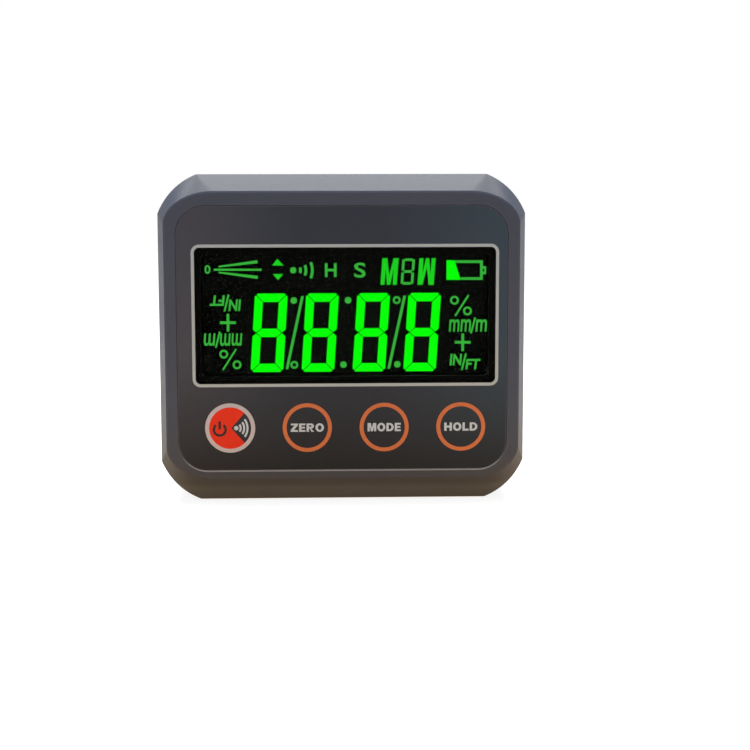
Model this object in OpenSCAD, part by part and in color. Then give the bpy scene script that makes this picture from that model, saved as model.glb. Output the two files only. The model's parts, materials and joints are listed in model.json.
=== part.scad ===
// Digital angle gauge: a pocket box that is set on an edge or a pipe and shows its tilt.
// X runs along the base, the display looks towards -Y, Z is up and the base flats lie at z = 0.

/* [Case] */
// Width of the case along the base
case_w = 67; // [64:0.5:76]
// Height of the case over the base flats
case_h = 60; // [58:0.5:70]
// Depth from the display face to the back
case_d = 30; // [29.5:0.5:36]
// Width of the top bevel, seen from the front
bevel_z = 3; // [2:0.1:3.6]
// Width of the bottom bevel, seen from the front
bevel_low_z = 3.9; // [3:0.1:4.2]
// Width of the side bevels, seen from the front
bevel_x = 1.2; // [0.8:0.1:2]
// Depth of every bevel
bevel_d = 3; // [2:0.1:3.6]
// Length that each cut corner takes off an edge
corner_cut = 7.1; // [6:0.1:8]
// Radius of the arc across a cut corner
corner_r = 12.6; // [11:0.1:16]
// Sideways reach of the round corners of the flat display face
face_rx = 9.2; // [7:0.1:11]
// Upright reach of the same corners
face_rz = 6.2; // [4.5:0.1:8]
// Soft edge round the flat display face
edge_soft = 0.35; // [0.1:0.05:0.6]
// Wall of both covers
wall = 2; // [1.6:0.1:2.2]
// Distance from the front of the case to the back of the panel wall
web_d = 2.5; // [2.4:0.05:2.8]
// Corner radius inside the covers
inner_r = 7; // [6:0.1:8]
// Distance of the joint between the covers in front of the middle
seam_front = 1; // [0:0.1:2]
// Shadow gap between the covers
seam_gap = 0.25; // [0.1:0.05:0.4]
// Length of the tongue that centres the rear cover
tongue_l = 1.4; // [1:0.1:2]
// Thickness of that tongue
tongue_t = 0.8; // [0.6:0.1:1]

/* [Base rail] */
// Distance of the rail's ends from the sides of the case
rail_end = 7.2; // [6.5:0.1:9]
// Distance of the rail's flanks from the front and back of the case
rail_side = 4; // [3.5:0.1:5]
// Height of the rail
rail_h = 5.2; // [4.8:0.1:5.4]
// Amount by which the rail stands below the covers
rail_proud = 0.25; // [0.1:0.05:0.5]
// Share of the rail's depth that the mouth of the V groove takes
groove_share = 0.5; // [0.45:0.01:0.52]
// Share of that mouth that the flat at the bottom of the groove takes
groove_floor_share = 0.4; // [0.36:0.01:0.46]
// Gap between the rail and the covers
rail_gap = 0.1; // [0.05:0.05:0.2]
// Metal left on each side of a magnet
magnet_margin = 0.35; // [0.3:0.05:0.7]
// Length of a magnet
magnet_l = 2.5; // [2:0.1:3]
// Distance of the magnets from the rail's ends
magnet_end = 14.3; // [12.5:0.1:18]
// Distance of the rail screws from the rail's ends
rail_screw_end = 6.3; // [4.5:0.1:8]

/* [Display panel] */
// Width of the rim left and right of the recessed panel
panel_side = 3.3; // [3:0.1:4.4]
// Width of the rim above the panel
panel_top = 5.5; // [5:0.1:6.6]
// Width of the rim below the panel
panel_low = 5.8; // [5.8:0.1:6.8]
// Corner radius of the recessed panel
panel_r = 5.5; // [3:0.1:7]
// Depth of the panel recess
panel_d = 0.6; // [0.6:0.05:0.9]
// Thickness of the printed film
film_t = 0.4; // [0.3:0.05:0.5]
// Gap round the film, the lens and the key zones
film_gap = 0.1; // [0.05:0.05:0.15]
// Distance of the display window from the sides of the case
window_side = 6.2; // [6:0.1:8.5]
// Distance of the window from the top of the case
window_top = 13.35; // [12.8:0.05:15]
// Distance of the window from the middle of the key row
window_over_keys = 8.2; // [8.1:0.05:10]
// Corner radius of the window
window_r = 0.9; // [0.5:0.1:2]
// Sideways place of the print, window and keys on the panel
print_x = 0.5; // [-0.8:0.1:0.8]
// Thickness of the window lens
lens_t = 1.2; // [0.9:0.1:1.4]
// Width of the ledge that carries the lens
lens_ledge = 1; // [0.8:0.1:1.5]

/* [Keys] */
// Distance of the outer keys from the sides of the panel
key_side = 9.05; // [8.5:0.05:12]
// Height of the key row
key_z = 13.9; // [13:0.1:14.2]
// Diameter of a key zone of the film
key_dia = 9.5; // [8:0.1:9.8]
// Height by which a key zone is embossed
key_rise = 0.1; // [0.05:0.05:0.2]
// Width of the sloping edge of the embossing
key_slope = 0.6; // [0.3:0.1:1]
// Diameter of the plunger's head
plunger_head_dia = 8.4; // [6:0.1:8.6]
// Thickness of the plunger's head
plunger_head_t = 0.9; // [0.6:0.05:1]
// Diameter of the plunger's stalk
plunger_dia = 4; // [3:0.1:5]
// Free travel of a key
key_travel = 0.25; // [0.15:0.05:0.3]

/* [Display] */
// Thickness of the glass cell
cell_glass_t = 2.1; // [1.6:0.1:2.3]
// Thickness of the backlight
backlight_t = 2.2; // [1.8:0.1:2.3]
// Share of the window's height that a digit takes
digit_h_share = 0.59; // [0.5:0.002:0.61]
// Share of the window's width from one digit to the next
digit_pitch_share = 0.172; // [0.15:0.001:0.173]
// Share of that distance that a digit fills
digit_w_share = 0.64; // [0.54:0.01:0.68]
// Width of a segment
segment_w = 1.55; // [1.2:0.05:1.8]
// Gap between neighbouring segments
segment_gap = 0.18; // [0.06:0.01:0.3]
// Cut of a digit's outer corners
digit_cut = 0.55; // [0.2:0.05:1]
// Depth of the notch at half height of a digit
digit_notch = 0.63; // [0.2:0.01:1]
// Forward slant of the digits in degrees
digit_slant = 3.8; // [0:0.1:8]

/* [Electronics and power] */
// Thickness of the main board
board_t = 1.2; // [1:0.1:1.6]
// Diameter of an AAA cell
aaa_dia = 10.5; // [9.5:0.1:10.6]
// Room for the contacts at the ends of a cell
cell_room = 6.5; // [6.2:0.1:7.4]
// Distance between the two cells' axes
aaa_pitch = 11; // [10.8:0.1:11.2]
// Distance of the battery bay's ends from the sides of the case
bay_end = 8; // [7.8:0.1:8.4]
// Share of the case's height at which the middle of the bay lies
bay_share = 0.58; // [0.574:0.001:0.583]
// Thickness of the sheet of the battery contacts
contact_t = 0.4; // [0.3:0.05:0.5]

/* [Hidden] */
$fn = 64;

// Overrun of every cut past the face that it leaves
over = 1;
// Facets of the circles inside a hull
hull_fn = 96;
// Thickness of a slice inside a hull
slice = 0.02;

// Case faces
front_y = -case_d / 2;
back_y = case_d / 2;
seam_y = -seam_front;
case_bottom = rail_proud;
half_w = case_w / 2;

// Panel stack, from the front face inwards
recess_y = front_y + panel_d;
film_y = recess_y - film_t;
web_y = front_y + web_d;
lens_back_y = film_y + lens_t;
panel_w = case_w - 2 * panel_side;
panel_h = case_h - panel_top - panel_low;
panel_mid_z = panel_low + panel_h / 2;
window_w = case_w - 2 * window_side;
window_low_z = key_z + window_over_keys;
window_h = case_h - window_top - window_low_z;
window_z = window_low_z + window_h / 2;
aperture_w = window_w - 2 * lens_ledge;
aperture_h = window_h - 2 * lens_ledge;

// Case screws
screw_inset_x = 6;
screw_inset_z = 7.5;
boss_r = 2.6;
rear_boss_r = 3.1;
screw_x = half_w - screw_inset_x;
screw_low_z = rail_h + rear_boss_r + 3 * rail_gap;
screw_high_z = case_h - screw_inset_z;
screw_r = 1;
screw_fit = 0.02;
screw_loose = 0.15;
screw_head_r = 1.9;
screw_head_h = 1.5;
screw_well_r = 2.15;
screw_seat_l = 7;
screw_seat_y = seam_y + screw_seat_l;
screw_grip_l = 7;

// Display stack, from the panel wall to the board
frame_wall = 1;
frame_lip = 0.8;
frame_clear = 0.15;
glass_margin = 1.6;
glass_ledge = 2.4;
board_clear = 0.25;
zebra_h = 1.8;
lcd_front_y = web_y + frame_clear + frame_lip;
lcd_w = aperture_w + 2 * glass_margin;
lcd_low_z = window_z - aperture_h / 2 - glass_margin;
lcd_top_z = window_z + aperture_h / 2 + glass_ledge;

// Lit marks on the glass
display_x = 0.62;
digit_low = 1.71;
digit_h = window_h * digit_h_share;
digit_pitch = window_w * digit_pitch_share;
digit_w = digit_pitch * digit_w_share;
digit_z = window_low_z + digit_low + digit_h / 2;
first_digit_x = display_x - digit_pitch * 3 / 2;
segment_t = 0.1;
dot_r = 0.6;
ring_r = 0.72;
dot_inset = 1.3;
mark_shift = 0.45;
mark_nudge = 0.12;
mark_inset = 0.5;
slash_w = 0.5;
slash_lean = 1.48;

// Main board
board_side_gap = 1.1;
board_low_gap = 0.8;
board_top_gap = 1.4;
board_hole_gap = 0.5;
board_y = lcd_front_y + cell_glass_t + backlight_t + board_clear;
board_back_y = board_y + board_t;
board_w = case_w - 2 * wall - 2 * board_side_gap;
board_bottom = rail_h + board_low_gap;
board_top = case_h - wall - board_top_gap;
post_r = 2.1;
post_top_x = 18;
post_drop = 3.2;
board_screw_r = 0.8;
board_screw_head_r = 1.6;
board_screw_head_h = 0.9;
board_screw_grip = 3.6;

// Key stack
key_pitch = (panel_w / 2 - key_side) * 2 / 3;
well_r = key_dia / 2 + film_gap;
well_room = 0.1;
well_d = plunger_head_t + key_travel + well_room;
sleeve_wall = 1.2;
sleeve_l = 1.5;
plunger_fit = 0.2;
switch_w = 6;
switch_h = 3.15;
stem_r = 1.75;
stem_fit = 0.1;
stem_out = 0.7;
stem_in = 1.2;
switch_y = board_y - switch_h;
stem_tip_y = switch_y - stem_out;

// Battery door
door_y = back_y - wall;
door_margin = 1.1;
door_gap = 0.15;
door_fit = 0.03;
door_tongue = 1;
door_tongue_t = 1;
door_lip = 0.9;
door_end_lap = 1.5;
door_shelf_t = 1.5;
door_grip_w = 0.8;
door_grip_l = 10;
door_grip_d = 0.4;
door_grip_step = 1.7;
door_grip_x = 12;
door_grip_count = 6;

// Battery bay
bay_room = 0.9;
bay_l = case_w - 2 * bay_end;
bay_z = case_h * bay_share;
aaa_l = bay_l - cell_room;
cell_rise = 0.35;
cell_sink = 0.15;
bay_h = aaa_pitch + aaa_dia + bay_room;
bay_floor_y = door_y - aaa_dia - cell_rise - cell_sink;
bay_floor_t = 1.5;
bay_end_wall = 2.2;
bay_rail_wall = door_margin + door_tongue + door_lip;
bay_low = bay_z - bay_h / 2;
bay_high = bay_z + bay_h / 2;
door_left_x = -bay_l / 2 - door_end_lap;
door_tongue_end_x = bay_l / 2 + door_gap;
cell_y = bay_floor_y + cell_rise + aaa_dia / 2;
cell_top_z = bay_z + aaa_pitch / 2;
cell_bottom_z = bay_z - aaa_pitch / 2;
nub_l = 1;
nub_r = 1.9;
contact_touch = 0.3;
cell_shift = bay_l / 2 - contact_t - contact_touch - aaa_l / 2;
spring_l = bay_l - aaa_l - 2 * contact_t - contact_touch;
spring_wire_r = 0.3;
spring_turns = 4;
spring_base_r = 3.4;
spring_tip_r = 2.2;
contact_w = 7.4;
behind_board = bay_floor_y - bay_floor_t - board_back_y;
tab_share = 0.3;
tab_end_y = bay_floor_y - bay_floor_t - behind_board * tab_share;
lead_r = 0.5;

// Places of the parts on the back of the board, as shares of its width and top,
// and their heights as shares of the room behind it
sensor_t_share = 0.25;
sensor_x_share = 0.2;
sensor_z_share = 0.64;
processor_t_share = 0.22;
processor_x_share = -0.13;
processor_z_share = 0.6;
leg_t_share = 0.04;
crystal_r_share = 0.22;
crystal_x_share = 0.03;
crystal_z_share = 0.78;
buzzer_t_share = 0.57;
buzzer_x_share = 0.33;
buzzer_z_share = 0.44;
chips_t_share = 0.14;
chips_x_share = -0.26;
chips_z_share = 0.43;

// Rail
rail_l = case_w - 2 * rail_end;
rail_d = case_d - 2 * rail_side;
groove_w = rail_d * groove_share;
groove_floor_w = groove_w * groove_floor_share;
magnet_dia = (rail_d - groove_w) / 2 - 2 * magnet_margin;
magnet_x = rail_l / 2 - magnet_end;
rail_screw_x = rail_l / 2 - rail_screw_end;
groove_d = (groove_w - groove_floor_w) / 2;
magnet_fit = 0.05;
magnet_y = (groove_w + rail_d) / 4;
rail_hole_fit = 0.1;
rail_screw_r = 1.25;
rail_screw_head_r = 2.1;
rail_screw_head_h = 1.2;
rail_screw_l = 6;
rail_boss_w = 6;
rail_boss_h = 6;
rail_boss_front_y = -rail_boss_w / 2 - screw_loose;

// Sideways place of each key, counted from the left
function key_x(index) = print_x + (index - 3 / 2) * key_pitch;

// Box between two corners
module box(low, high) {
    translate(low)
        cube(high - low);
}

// Plate of a flat shape between two depths
module slab(from_y, to_y) {
    translate([0, to_y, 0])
        rotate([90, 0, 0])
            linear_extrude(to_y - from_y)
                children();
}

// Round bar along Y; r_front and r_back differ on a cone
module bar(x, z, r_front, r_back, from_y, to_y) {
    translate([x, to_y, z])
        rotate([90, 0, 0])
            cylinder(r1 = r_back, r2 = r_front, h = to_y - from_y);
}

// Rectangle with round corners, about a middle
module rounded(w, h, r, x, z) {
    translate([x, z]) {
        square([w - 2 * r, h], center = true);
        square([w, h - 2 * r], center = true);
        for (sx = [-1, 1], sz = [-1, 1])
            translate([sx * (w / 2 - r), sz * (h / 2 - r)])
                circle(r);
    }
}

// Outline of the case: straight edges and four arcs that meet them at a crease
module case_outline() {
    half_chord = corner_cut / sqrt(2);
    centre_in = (corner_cut / 2) + sqrt(corner_r * corner_r - half_chord * half_chord) / sqrt(2);
    h = case_h - case_bottom;
    translate([0, case_bottom + h / 2])
        difference() {
            square([case_w, h], center = true);
            for (sx = [-1, 1], sz = [-1, 1])
                translate([sx * half_w, sz * h / 2])
                    difference() {
                        square(2 * corner_cut, center = true);
                        translate([-sx * centre_in, -sz * centre_in])
                            circle(corner_r);
                    }
        }
}

// Flat face inside the bevels, with corners that are longer than they are high
module face_outline(inset) {
    w = case_w - 2 * bevel_x - 2 * face_rx;
    h = case_h - case_bottom - bevel_z - bevel_low_z - 2 * face_rz;
    translate([0, (case_h + case_bottom + bevel_low_z - bevel_z) / 2])
        hull($fn = hull_fn)
            for (sx = [-1, 1], sz = [-1, 1])
                translate([sx * w / 2, sz * h / 2])
                    scale([face_rx - inset, face_rz - inset])
                        circle(1);
}

// Solid block of the front half, with its bevelled front
module front_block(to_y) {
    hull($fn = hull_fn) {
        slab(front_y + bevel_d, to_y)
            case_outline();
        slab(front_y + edge_soft / 2, front_y + edge_soft / 2 + slice)
            face_outline(0);
        slab(front_y, front_y + slice)
            face_outline(edge_soft);
    }
}

// Solid block of the rear half
module rear_block(from_y) {
    mirror([0, 1, 0])
        front_block(-from_y);
}

// Inside of the covers, less an inset
module cavity_outline(inset) {
    w = case_w - 2 * wall - 2 * inset;
    h = case_h - case_bottom - 2 * wall - 2 * inset;
    rounded(w, h, inner_r - inset, 0, (case_h + case_bottom) / 2);
}

// Places of the four case screws
module at_case_screws() {
    for (sx = [-1, 1], z = [screw_low_z, screw_high_z])
        translate([sx * screw_x, 0, z])
            children();
}

// Places of the four board screws
module at_board_screws() {
    for (x = [(key_x(0) + key_x(1)) / 2, (key_x(2) + key_x(3)) / 2])
        translate([x, 0, key_z])
            children();
    for (sx = [-1, 1])
        translate([sx * post_top_x, 0, board_top - post_drop])
            children();
}

// V groove and the room round the rail, cut from both covers
module base_cut() {
    grown_d = rail_d / 2 + rail_gap;
    grown_l = rail_l / 2 + rail_gap;
    box([-grown_l, -grown_d, -over], [grown_l, grown_d, rail_h + rail_gap]);
    translate([-half_w - over, 0, 0])
        rotate([90, 0, 90])
            linear_extrude(case_w + 2 * over)
                groove_shape();
}

// Section of the V groove
module groove_shape() {
    polygon([
        [-groove_w / 2 - over, -over],
        [-groove_floor_w / 2, groove_d],
        [groove_floor_w / 2, groove_d],
        [groove_w / 2 + over, -over]
    ]);
}

module front_cover() {
    color("#3b3e43")
    difference() {
        union() {
            difference() {
                front_block(seam_y);
                slab(web_y, seam_y + over)
                    cavity_outline(0);
            }
            // Tongue inside the seam
            difference() {
                slab(web_y, seam_y + tongue_l)
                    cavity_outline(0);
                slab(web_y - over, seam_y + tongue_l + over)
                    cavity_outline(tongue_t);
            }
            at_case_screws()
                bar(0, 0, boss_r, boss_r, web_y, seam_y);
            at_board_screws()
                bar(0, 0, post_r, post_r, web_y, board_y);
            for (index = [0:3])
                bar(key_x(index), key_z, plunger_dia / 2 + sleeve_wall, plunger_dia / 2 + sleeve_wall,
                    web_y, web_y + sleeve_l);
        }
        // Recess of the film and the two steps of the window
        slab(front_y - over, recess_y)
            rounded(panel_w, panel_h, panel_r, 0, panel_mid_z);
        slab(recess_y - over, lens_back_y)
            rounded(window_w + 2 * film_gap, window_h + 2 * film_gap, window_r, print_x, window_z);
        slab(recess_y, web_y + over)
            rounded(aperture_w, aperture_h, window_r, print_x, window_z);
        for (index = [0:3]) {
            bar(key_x(index), key_z, well_r, well_r, recess_y - over, recess_y + well_d);
            bar(key_x(index), key_z, plunger_dia / 2 + plunger_fit, plunger_dia / 2 + plunger_fit,
                recess_y, web_y + sleeve_l + over);
        }
        at_case_screws()
            bar(0, 0, screw_r + screw_fit, screw_r + screw_fit, seam_y - screw_grip_l, seam_y + over);
        at_board_screws()
            bar(0, 0, board_screw_r + screw_fit, board_screw_r + screw_fit,
                board_y - board_screw_grip, board_y + over);
        base_cut();
    }
}

// Room that the door and its two tongues slide through
module door_track() {
    box([door_left_x, door_y, bay_low - door_margin],
        [half_w + over, back_y + over, bay_high + door_margin]);
    box([door_left_x, door_y, bay_low - door_margin - door_tongue],
        [half_w + over, door_y + door_tongue_t + door_gap, bay_high + door_margin + door_tongue]);
}

module rear_cover() {
    rib_low = case_bottom + wall / 2;
    rib_high = rail_h + rail_boss_h;
    color("#3b3e43")
    difference() {
        union() {
            difference() {
                rear_block(seam_y + seam_gap);
                slab(seam_y, back_y - wall)
                    cavity_outline(0);
            }
            at_case_screws()
                bar(0, 0, rear_boss_r, rear_boss_r, seam_y, back_y - wall);
            // Battery bay and the shelf under the open end of the door
            box([-bay_l / 2 - bay_end_wall, bay_floor_y - bay_floor_t, bay_low - bay_rail_wall],
                [bay_l / 2 + bay_end_wall, back_y - wall, bay_high + bay_rail_wall]);
            box([bay_l / 2, door_y - door_shelf_t, bay_low - bay_rail_wall],
                [half_w - wall, back_y - wall, bay_high + bay_rail_wall]);
            // Ribs that the base screws bite into
            for (sx = [-1, 1])
                box([sx * rail_screw_x - rail_boss_w / 2, rail_boss_front_y, rib_low],
                    [sx * rail_screw_x + rail_boss_w / 2, back_y - wall, rib_high]);
        }
        // Inside of the bay
        box([-bay_l / 2, bay_floor_y, bay_low], [bay_l / 2, back_y + over, bay_high]);
        door_track();
        // Slots that the contact tabs pass through
        for (z = [cell_bottom_z, cell_top_z])
            box([-bay_l / 2, bay_floor_y - bay_floor_t - over, z - contact_w / 2 - film_gap],
                [-bay_l / 2 + contact_t + film_gap, bay_floor_y + over, z + contact_w / 2 + film_gap]);
        at_case_screws() {
            bar(0, 0, screw_r + screw_loose, screw_r + screw_loose, seam_y - over, back_y);
            bar(0, 0, screw_well_r, screw_well_r, screw_seat_y, back_y + over);
        }
        for (sx = [-1, 1])
            translate([sx * rail_screw_x, 0, rail_h - over])
                cylinder(r = rail_screw_r + screw_fit, h = rail_screw_l);
        base_cut();
    }
}

// The door follows the outer shape of the rear cover, so its end carries the side bevel
module battery_door() {
    low = bay_low - door_margin + door_gap;
    high = bay_high + door_margin - door_gap;
    left = door_left_x + door_gap;
    color("#34373b")
    difference() {
        union() {
            intersection() {
                rear_block(seam_y);
                box([left, door_y + door_fit, low], [half_w + over, back_y + over, high]);
            }
            box([left, door_y + door_fit, low - door_tongue],
                [door_tongue_end_x, door_y + door_tongue_t, high + door_tongue]);
        }
        for (index = [0:door_grip_count - 1])
            translate([door_grip_x + index * door_grip_step, 0, bay_z])
                box([-door_grip_w / 2, back_y - door_grip_d, -door_grip_l / 2],
                    [door_grip_w / 2, back_y + over, door_grip_l / 2]);
    }
}

module base_rail() {
    hole_r = rail_screw_r + rail_hole_fit;
    color("#c9ccd0")
    difference() {
        box([-rail_l / 2, -rail_d / 2, 0], [rail_l / 2, rail_d / 2, rail_h]);
        translate([-rail_l / 2 - over, 0, 0])
            rotate([90, 0, 90])
                linear_extrude(rail_l + 2 * over)
                    groove_shape();
        for (sx = [-1, 1], sy = [-1, 1])
            translate([sx * magnet_x, sy * magnet_y, -over])
                cylinder(d = magnet_dia + 2 * magnet_fit, h = magnet_l + magnet_fit + over);
        for (sx = [-1, 1])
            translate([sx * rail_screw_x, 0, 0]) {
                cylinder(r = hole_r, h = rail_h + over);
                translate([0, 0, groove_d])
                    cylinder(r1 = rail_screw_head_r, r2 = hole_r, h = rail_screw_head_h);
                cylinder(r = rail_screw_head_r, h = groove_d);
            }
    }
}

module magnet(sx, sy) {
    color("#dcdde0")
    translate([sx * magnet_x, sy * magnet_y, magnet_fit])
        cylinder(d = magnet_dia, h = magnet_l);
}

module overlay_film() {
    color("#2f333a")
    difference() {
        slab(film_y, recess_y)
            rounded(panel_w - 2 * film_gap, panel_h - 2 * film_gap, panel_r - film_gap, 0, panel_mid_z);
        slab(film_y - over, recess_y + over)
            rounded(window_w + 2 * film_gap, window_h + 2 * film_gap, window_r, print_x, window_z);
        for (index = [0:3])
            bar(key_x(index), key_z, well_r, well_r, film_y - over, recess_y + over);
    }
}

module display_lens() {
    color("#101214", 0.5)
    slab(film_y, lens_back_y)
        rounded(window_w, window_h, window_r, print_x, window_z);
}

// Round zone of the film with a low embossing
module key_zone(index, tint) {
    r = key_dia / 2;
    color(tint) {
        bar(key_x(index), key_z, r, r, film_y, recess_y);
        bar(key_x(index), key_z, r - 2 * key_slope, r - key_slope, film_y - key_rise, film_y);
    }
}

module plunger(index) {
    head_r = plunger_head_dia / 2;
    neck_y = recess_y + plunger_head_t;
    color("#22252a") {
        bar(key_x(index), key_z, head_r, head_r, recess_y, neck_y);
        bar(key_x(index), key_z, plunger_dia / 2, plunger_dia / 2, neck_y, stem_tip_y);
    }
}

module tact_switch(index) {
    color("#1a1b1d")
    difference() {
        box([key_x(index) - switch_w / 2, switch_y, key_z - switch_w / 2],
            [key_x(index) + switch_w / 2, board_y, key_z + switch_w / 2]);
        bar(key_x(index), key_z, stem_r + stem_fit, stem_r + stem_fit,
            switch_y - over, switch_y + stem_in + key_travel + well_room);
    }
}

module switch_stem(index) {
    color("#d9d4c4")
        bar(key_x(index), key_z, stem_r, stem_r, stem_tip_y, stem_tip_y + stem_out + stem_in);
}

module lcd_cell() {
    color("#15181a")
        box([print_x - lcd_w / 2, lcd_front_y, lcd_low_z],
            [print_x + lcd_w / 2, lcd_front_y + cell_glass_t, lcd_top_z]);
}

// Point of the display shifted by the slant, from upright places about a digit's middle
function lean(point) = [point[0] + point[1] * tan(digit_slant), point[1]];
function flip(points, sx, sz) = [for (p = points) lean([sx * p[0], sz * p[1]])];

// Upper right segment of an upright digit
function side_segment(x, z, g) = [
    [x, z - digit_cut], [x, digit_notch], [x - digit_notch, g],
    [x - segment_w, segment_w / 2 + g], [x - segment_w, z - segment_w - g],
    [x - digit_cut / 2, z - digit_cut / 2 - g]
];

// Top segment of an upright digit
function top_segment(x, z, g) = [
    [x - digit_cut, z], [x - digit_cut / 2 - g, z - digit_cut / 2], [x - segment_w - g, z - segment_w],
    [segment_w + g - x, z - segment_w], [digit_cut / 2 + g - x, z - digit_cut / 2], [digit_cut - x, z]
];

// Middle segment of an upright digit
function middle_segment(x, g) = [
    [x - digit_notch - g, 0], [x - segment_w - g, segment_w / 2], [segment_w + g - x, segment_w / 2],
    [digit_notch + g - x, 0], [segment_w + g - x, -segment_w / 2], [x - segment_w - g, -segment_w / 2]
];

// Seven segments of a digit, about its middle
module digit() {
    x = digit_w / 2;
    z = digit_h / 2;
    g = segment_gap / 2;
    for (sz = [-1, 1])
        polygon(flip(top_segment(x, z, g), 1, sz));
    for (sx = [-1, 1], sz = [-1, 1])
        polygon(flip(side_segment(x, z, g), sx, sz));
    polygon(flip(middle_segment(x, g), 1, 1));
}

// Leaning stroke between two digits
module slash() {
    reach = digit_h / 2 - mark_inset;
    polygon([
        [slash_lean - slash_w / 2, reach], [slash_lean + slash_w / 2, reach],
        [slash_w / 2 - slash_lean, -reach], [-slash_w / 2 - slash_lean, -reach]
    ]);
}

module dot() {
    circle(dot_r);
}

module ring() {
    difference() {
        circle(ring_r);
        circle(ring_r / 2);
    }
}

// Four digits, each segment a thin field on the glass
module lcd_digits() {
    color("#19f019")
    slab(lcd_front_y - segment_t, lcd_front_y)
        for (index = [0:3])
            translate([first_digit_x + index * digit_pitch, digit_z])
                digit();
}

// Strokes, dots and rings between the digits
module lcd_marks() {
    first_x = first_digit_x;
    mark_z = digit_h / 2 - dot_inset;
    color("#35a835")
    slab(lcd_front_y - segment_t, lcd_front_y)
        translate([0, digit_z]) {
            for (index = [0, 2])
                translate([first_x + (index + 1 / 2) * digit_pitch, 0])
                    slash();
            translate([first_x + digit_pitch / 2 - mark_nudge, 0]) {
                translate([0, mark_z])
                    dot();
                translate([0, -mark_z])
                    ring();
            }
            for (sz = [-1, 1])
                translate([first_x + digit_pitch * 3 / 2 + sz * mark_shift, sz * mark_z])
                    dot();
            translate([first_x + digit_pitch * 5 / 2, mark_z])
                ring();
            translate([first_x + digit_pitch * 5 / 2 + mark_nudge, -mark_z])
                dot();
        }
}

module lcd_backlight() {
    color("#e8f0e8")
        box([print_x - lcd_w / 2, lcd_front_y + cell_glass_t, lcd_low_z],
            [print_x + lcd_w / 2, lcd_front_y + cell_glass_t + backlight_t, lcd_top_z - zebra_h - film_gap]);
}

module zebra_strip() {
    color("#b8b2a6")
        box([print_x - aperture_w / 2, lcd_front_y + cell_glass_t, lcd_top_z - zebra_h],
            [print_x + aperture_w / 2, board_y, lcd_top_z]);
}

// Moulded frame that holds glass and backlight against the board
module lcd_frame() {
    out_w = lcd_w + 2 * frame_wall + 2 * film_gap;
    low = lcd_low_z - film_gap;
    high = lcd_top_z + film_gap;
    color("#e4e4e0")
    difference() {
        box([print_x - out_w / 2, lcd_front_y - frame_lip, low - frame_wall],
            [print_x + out_w / 2, board_y, high + frame_wall]);
        box([print_x - lcd_w / 2 - film_gap, lcd_front_y, low],
            [print_x + lcd_w / 2 + film_gap, board_y + over, high]);
        slab(lcd_front_y - frame_lip - over, board_y)
            rounded(aperture_w, aperture_h, window_r, print_x, window_z);
    }
}

// Board with round notches past the corner bosses
module main_board() {
    notch_r = boss_r + board_hole_gap;
    hole_r = board_screw_r + screw_loose;
    corner = screw_inset_z + over;
    color("#1f5a35")
    difference() {
        box([-board_w / 2, board_y, board_bottom], [board_w / 2, board_back_y, board_top]);
        at_case_screws()
            bar(0, 0, notch_r, notch_r, board_y - over, board_back_y + over);
        for (sx = [-1, 1], z = [screw_low_z - corner / 2, screw_high_z + corner / 2])
            translate([sx * (screw_x + corner / 2), board_y, z])
                cube([corner, 2 * board_t + over, corner], center = true);
        at_board_screws()
            bar(0, 0, hole_r, hole_r, board_y - over, board_back_y + over);
    }
}

module tilt_sensor() {
    sensor_w = 5;
    sensor_t = behind_board * sensor_t_share;
    sensor_x = board_w * sensor_x_share;
    sensor_z = board_top * sensor_z_share;
    color("#2b2b2e")
        box([sensor_x - sensor_w / 2, board_back_y, sensor_z - sensor_w / 2],
            [sensor_x + sensor_w / 2, board_back_y + sensor_t, sensor_z + sensor_w / 2]);
}

// Square chip with a row of flat legs on each side
module microcontroller() {
    chip_w = 9;
    chip_t = behind_board * processor_t_share;
    chip_x = board_w * processor_x_share;
    chip_z = board_top * processor_z_share;
    leg_w = 0.35;
    leg_step = 0.8;
    leg_l = 1;
    leg_t = behind_board * leg_t_share;
    legs = 10;
    color("#202124")
    translate([chip_x, board_back_y, chip_z]) {
        box([-chip_w / 2, leg_t / 2, -chip_w / 2], [chip_w / 2, leg_t / 2 + chip_t, chip_w / 2]);
        for (turn = [0:3], index = [0:legs - 1])
            rotate([0, 90 * turn, 0])
                translate([(index - (legs - 1) / 2) * leg_step, 0, 0])
                    box([-leg_w / 2, 0, chip_w / 2 - leg_l / 2], [leg_w / 2, leg_t, chip_w / 2 + leg_l]);
    }
}

module crystal() {
    can_r = behind_board * crystal_r_share;
    can_l = 6.2;
    can_x = board_w * crystal_x_share;
    can_z = board_top * crystal_z_share;
    color("#c4c6c8")
    translate([can_x, board_back_y + can_r, can_z])
        rotate([0, 90, 0])
            cylinder(r = can_r, h = can_l, center = true);
}

module buzzer() {
    buzzer_r = 4.5;
    buzzer_t = behind_board * buzzer_t_share;
    port_r = 0.8;
    buzzer_x = board_w * buzzer_x_share;
    buzzer_z = board_top * buzzer_z_share;
    color("#161718")
    difference() {
        bar(buzzer_x, buzzer_z, buzzer_r, buzzer_r, board_back_y, board_back_y + buzzer_t);
        bar(buzzer_x, buzzer_z, port_r, port_r, board_back_y + buzzer_t / 2, board_back_y + buzzer_t + over);
    }
}

// Row of chip capacitors beside the processor
module board_capacitors() {
    chip_w = 0.9;
    chip_l = 1.7;
    chip_step = 2.2;
    chip_t = behind_board * chips_t_share;
    chip_x = board_w * chips_x_share;
    chip_z = board_top * chips_z_share;
    color("#b79b6c")
    for (index = [0:5])
        translate([chip_x + index * chip_step, board_back_y, chip_z])
            box([-chip_w / 2, 0, -chip_l / 2], [chip_w / 2, chip_t, chip_l / 2]);
}

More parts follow.
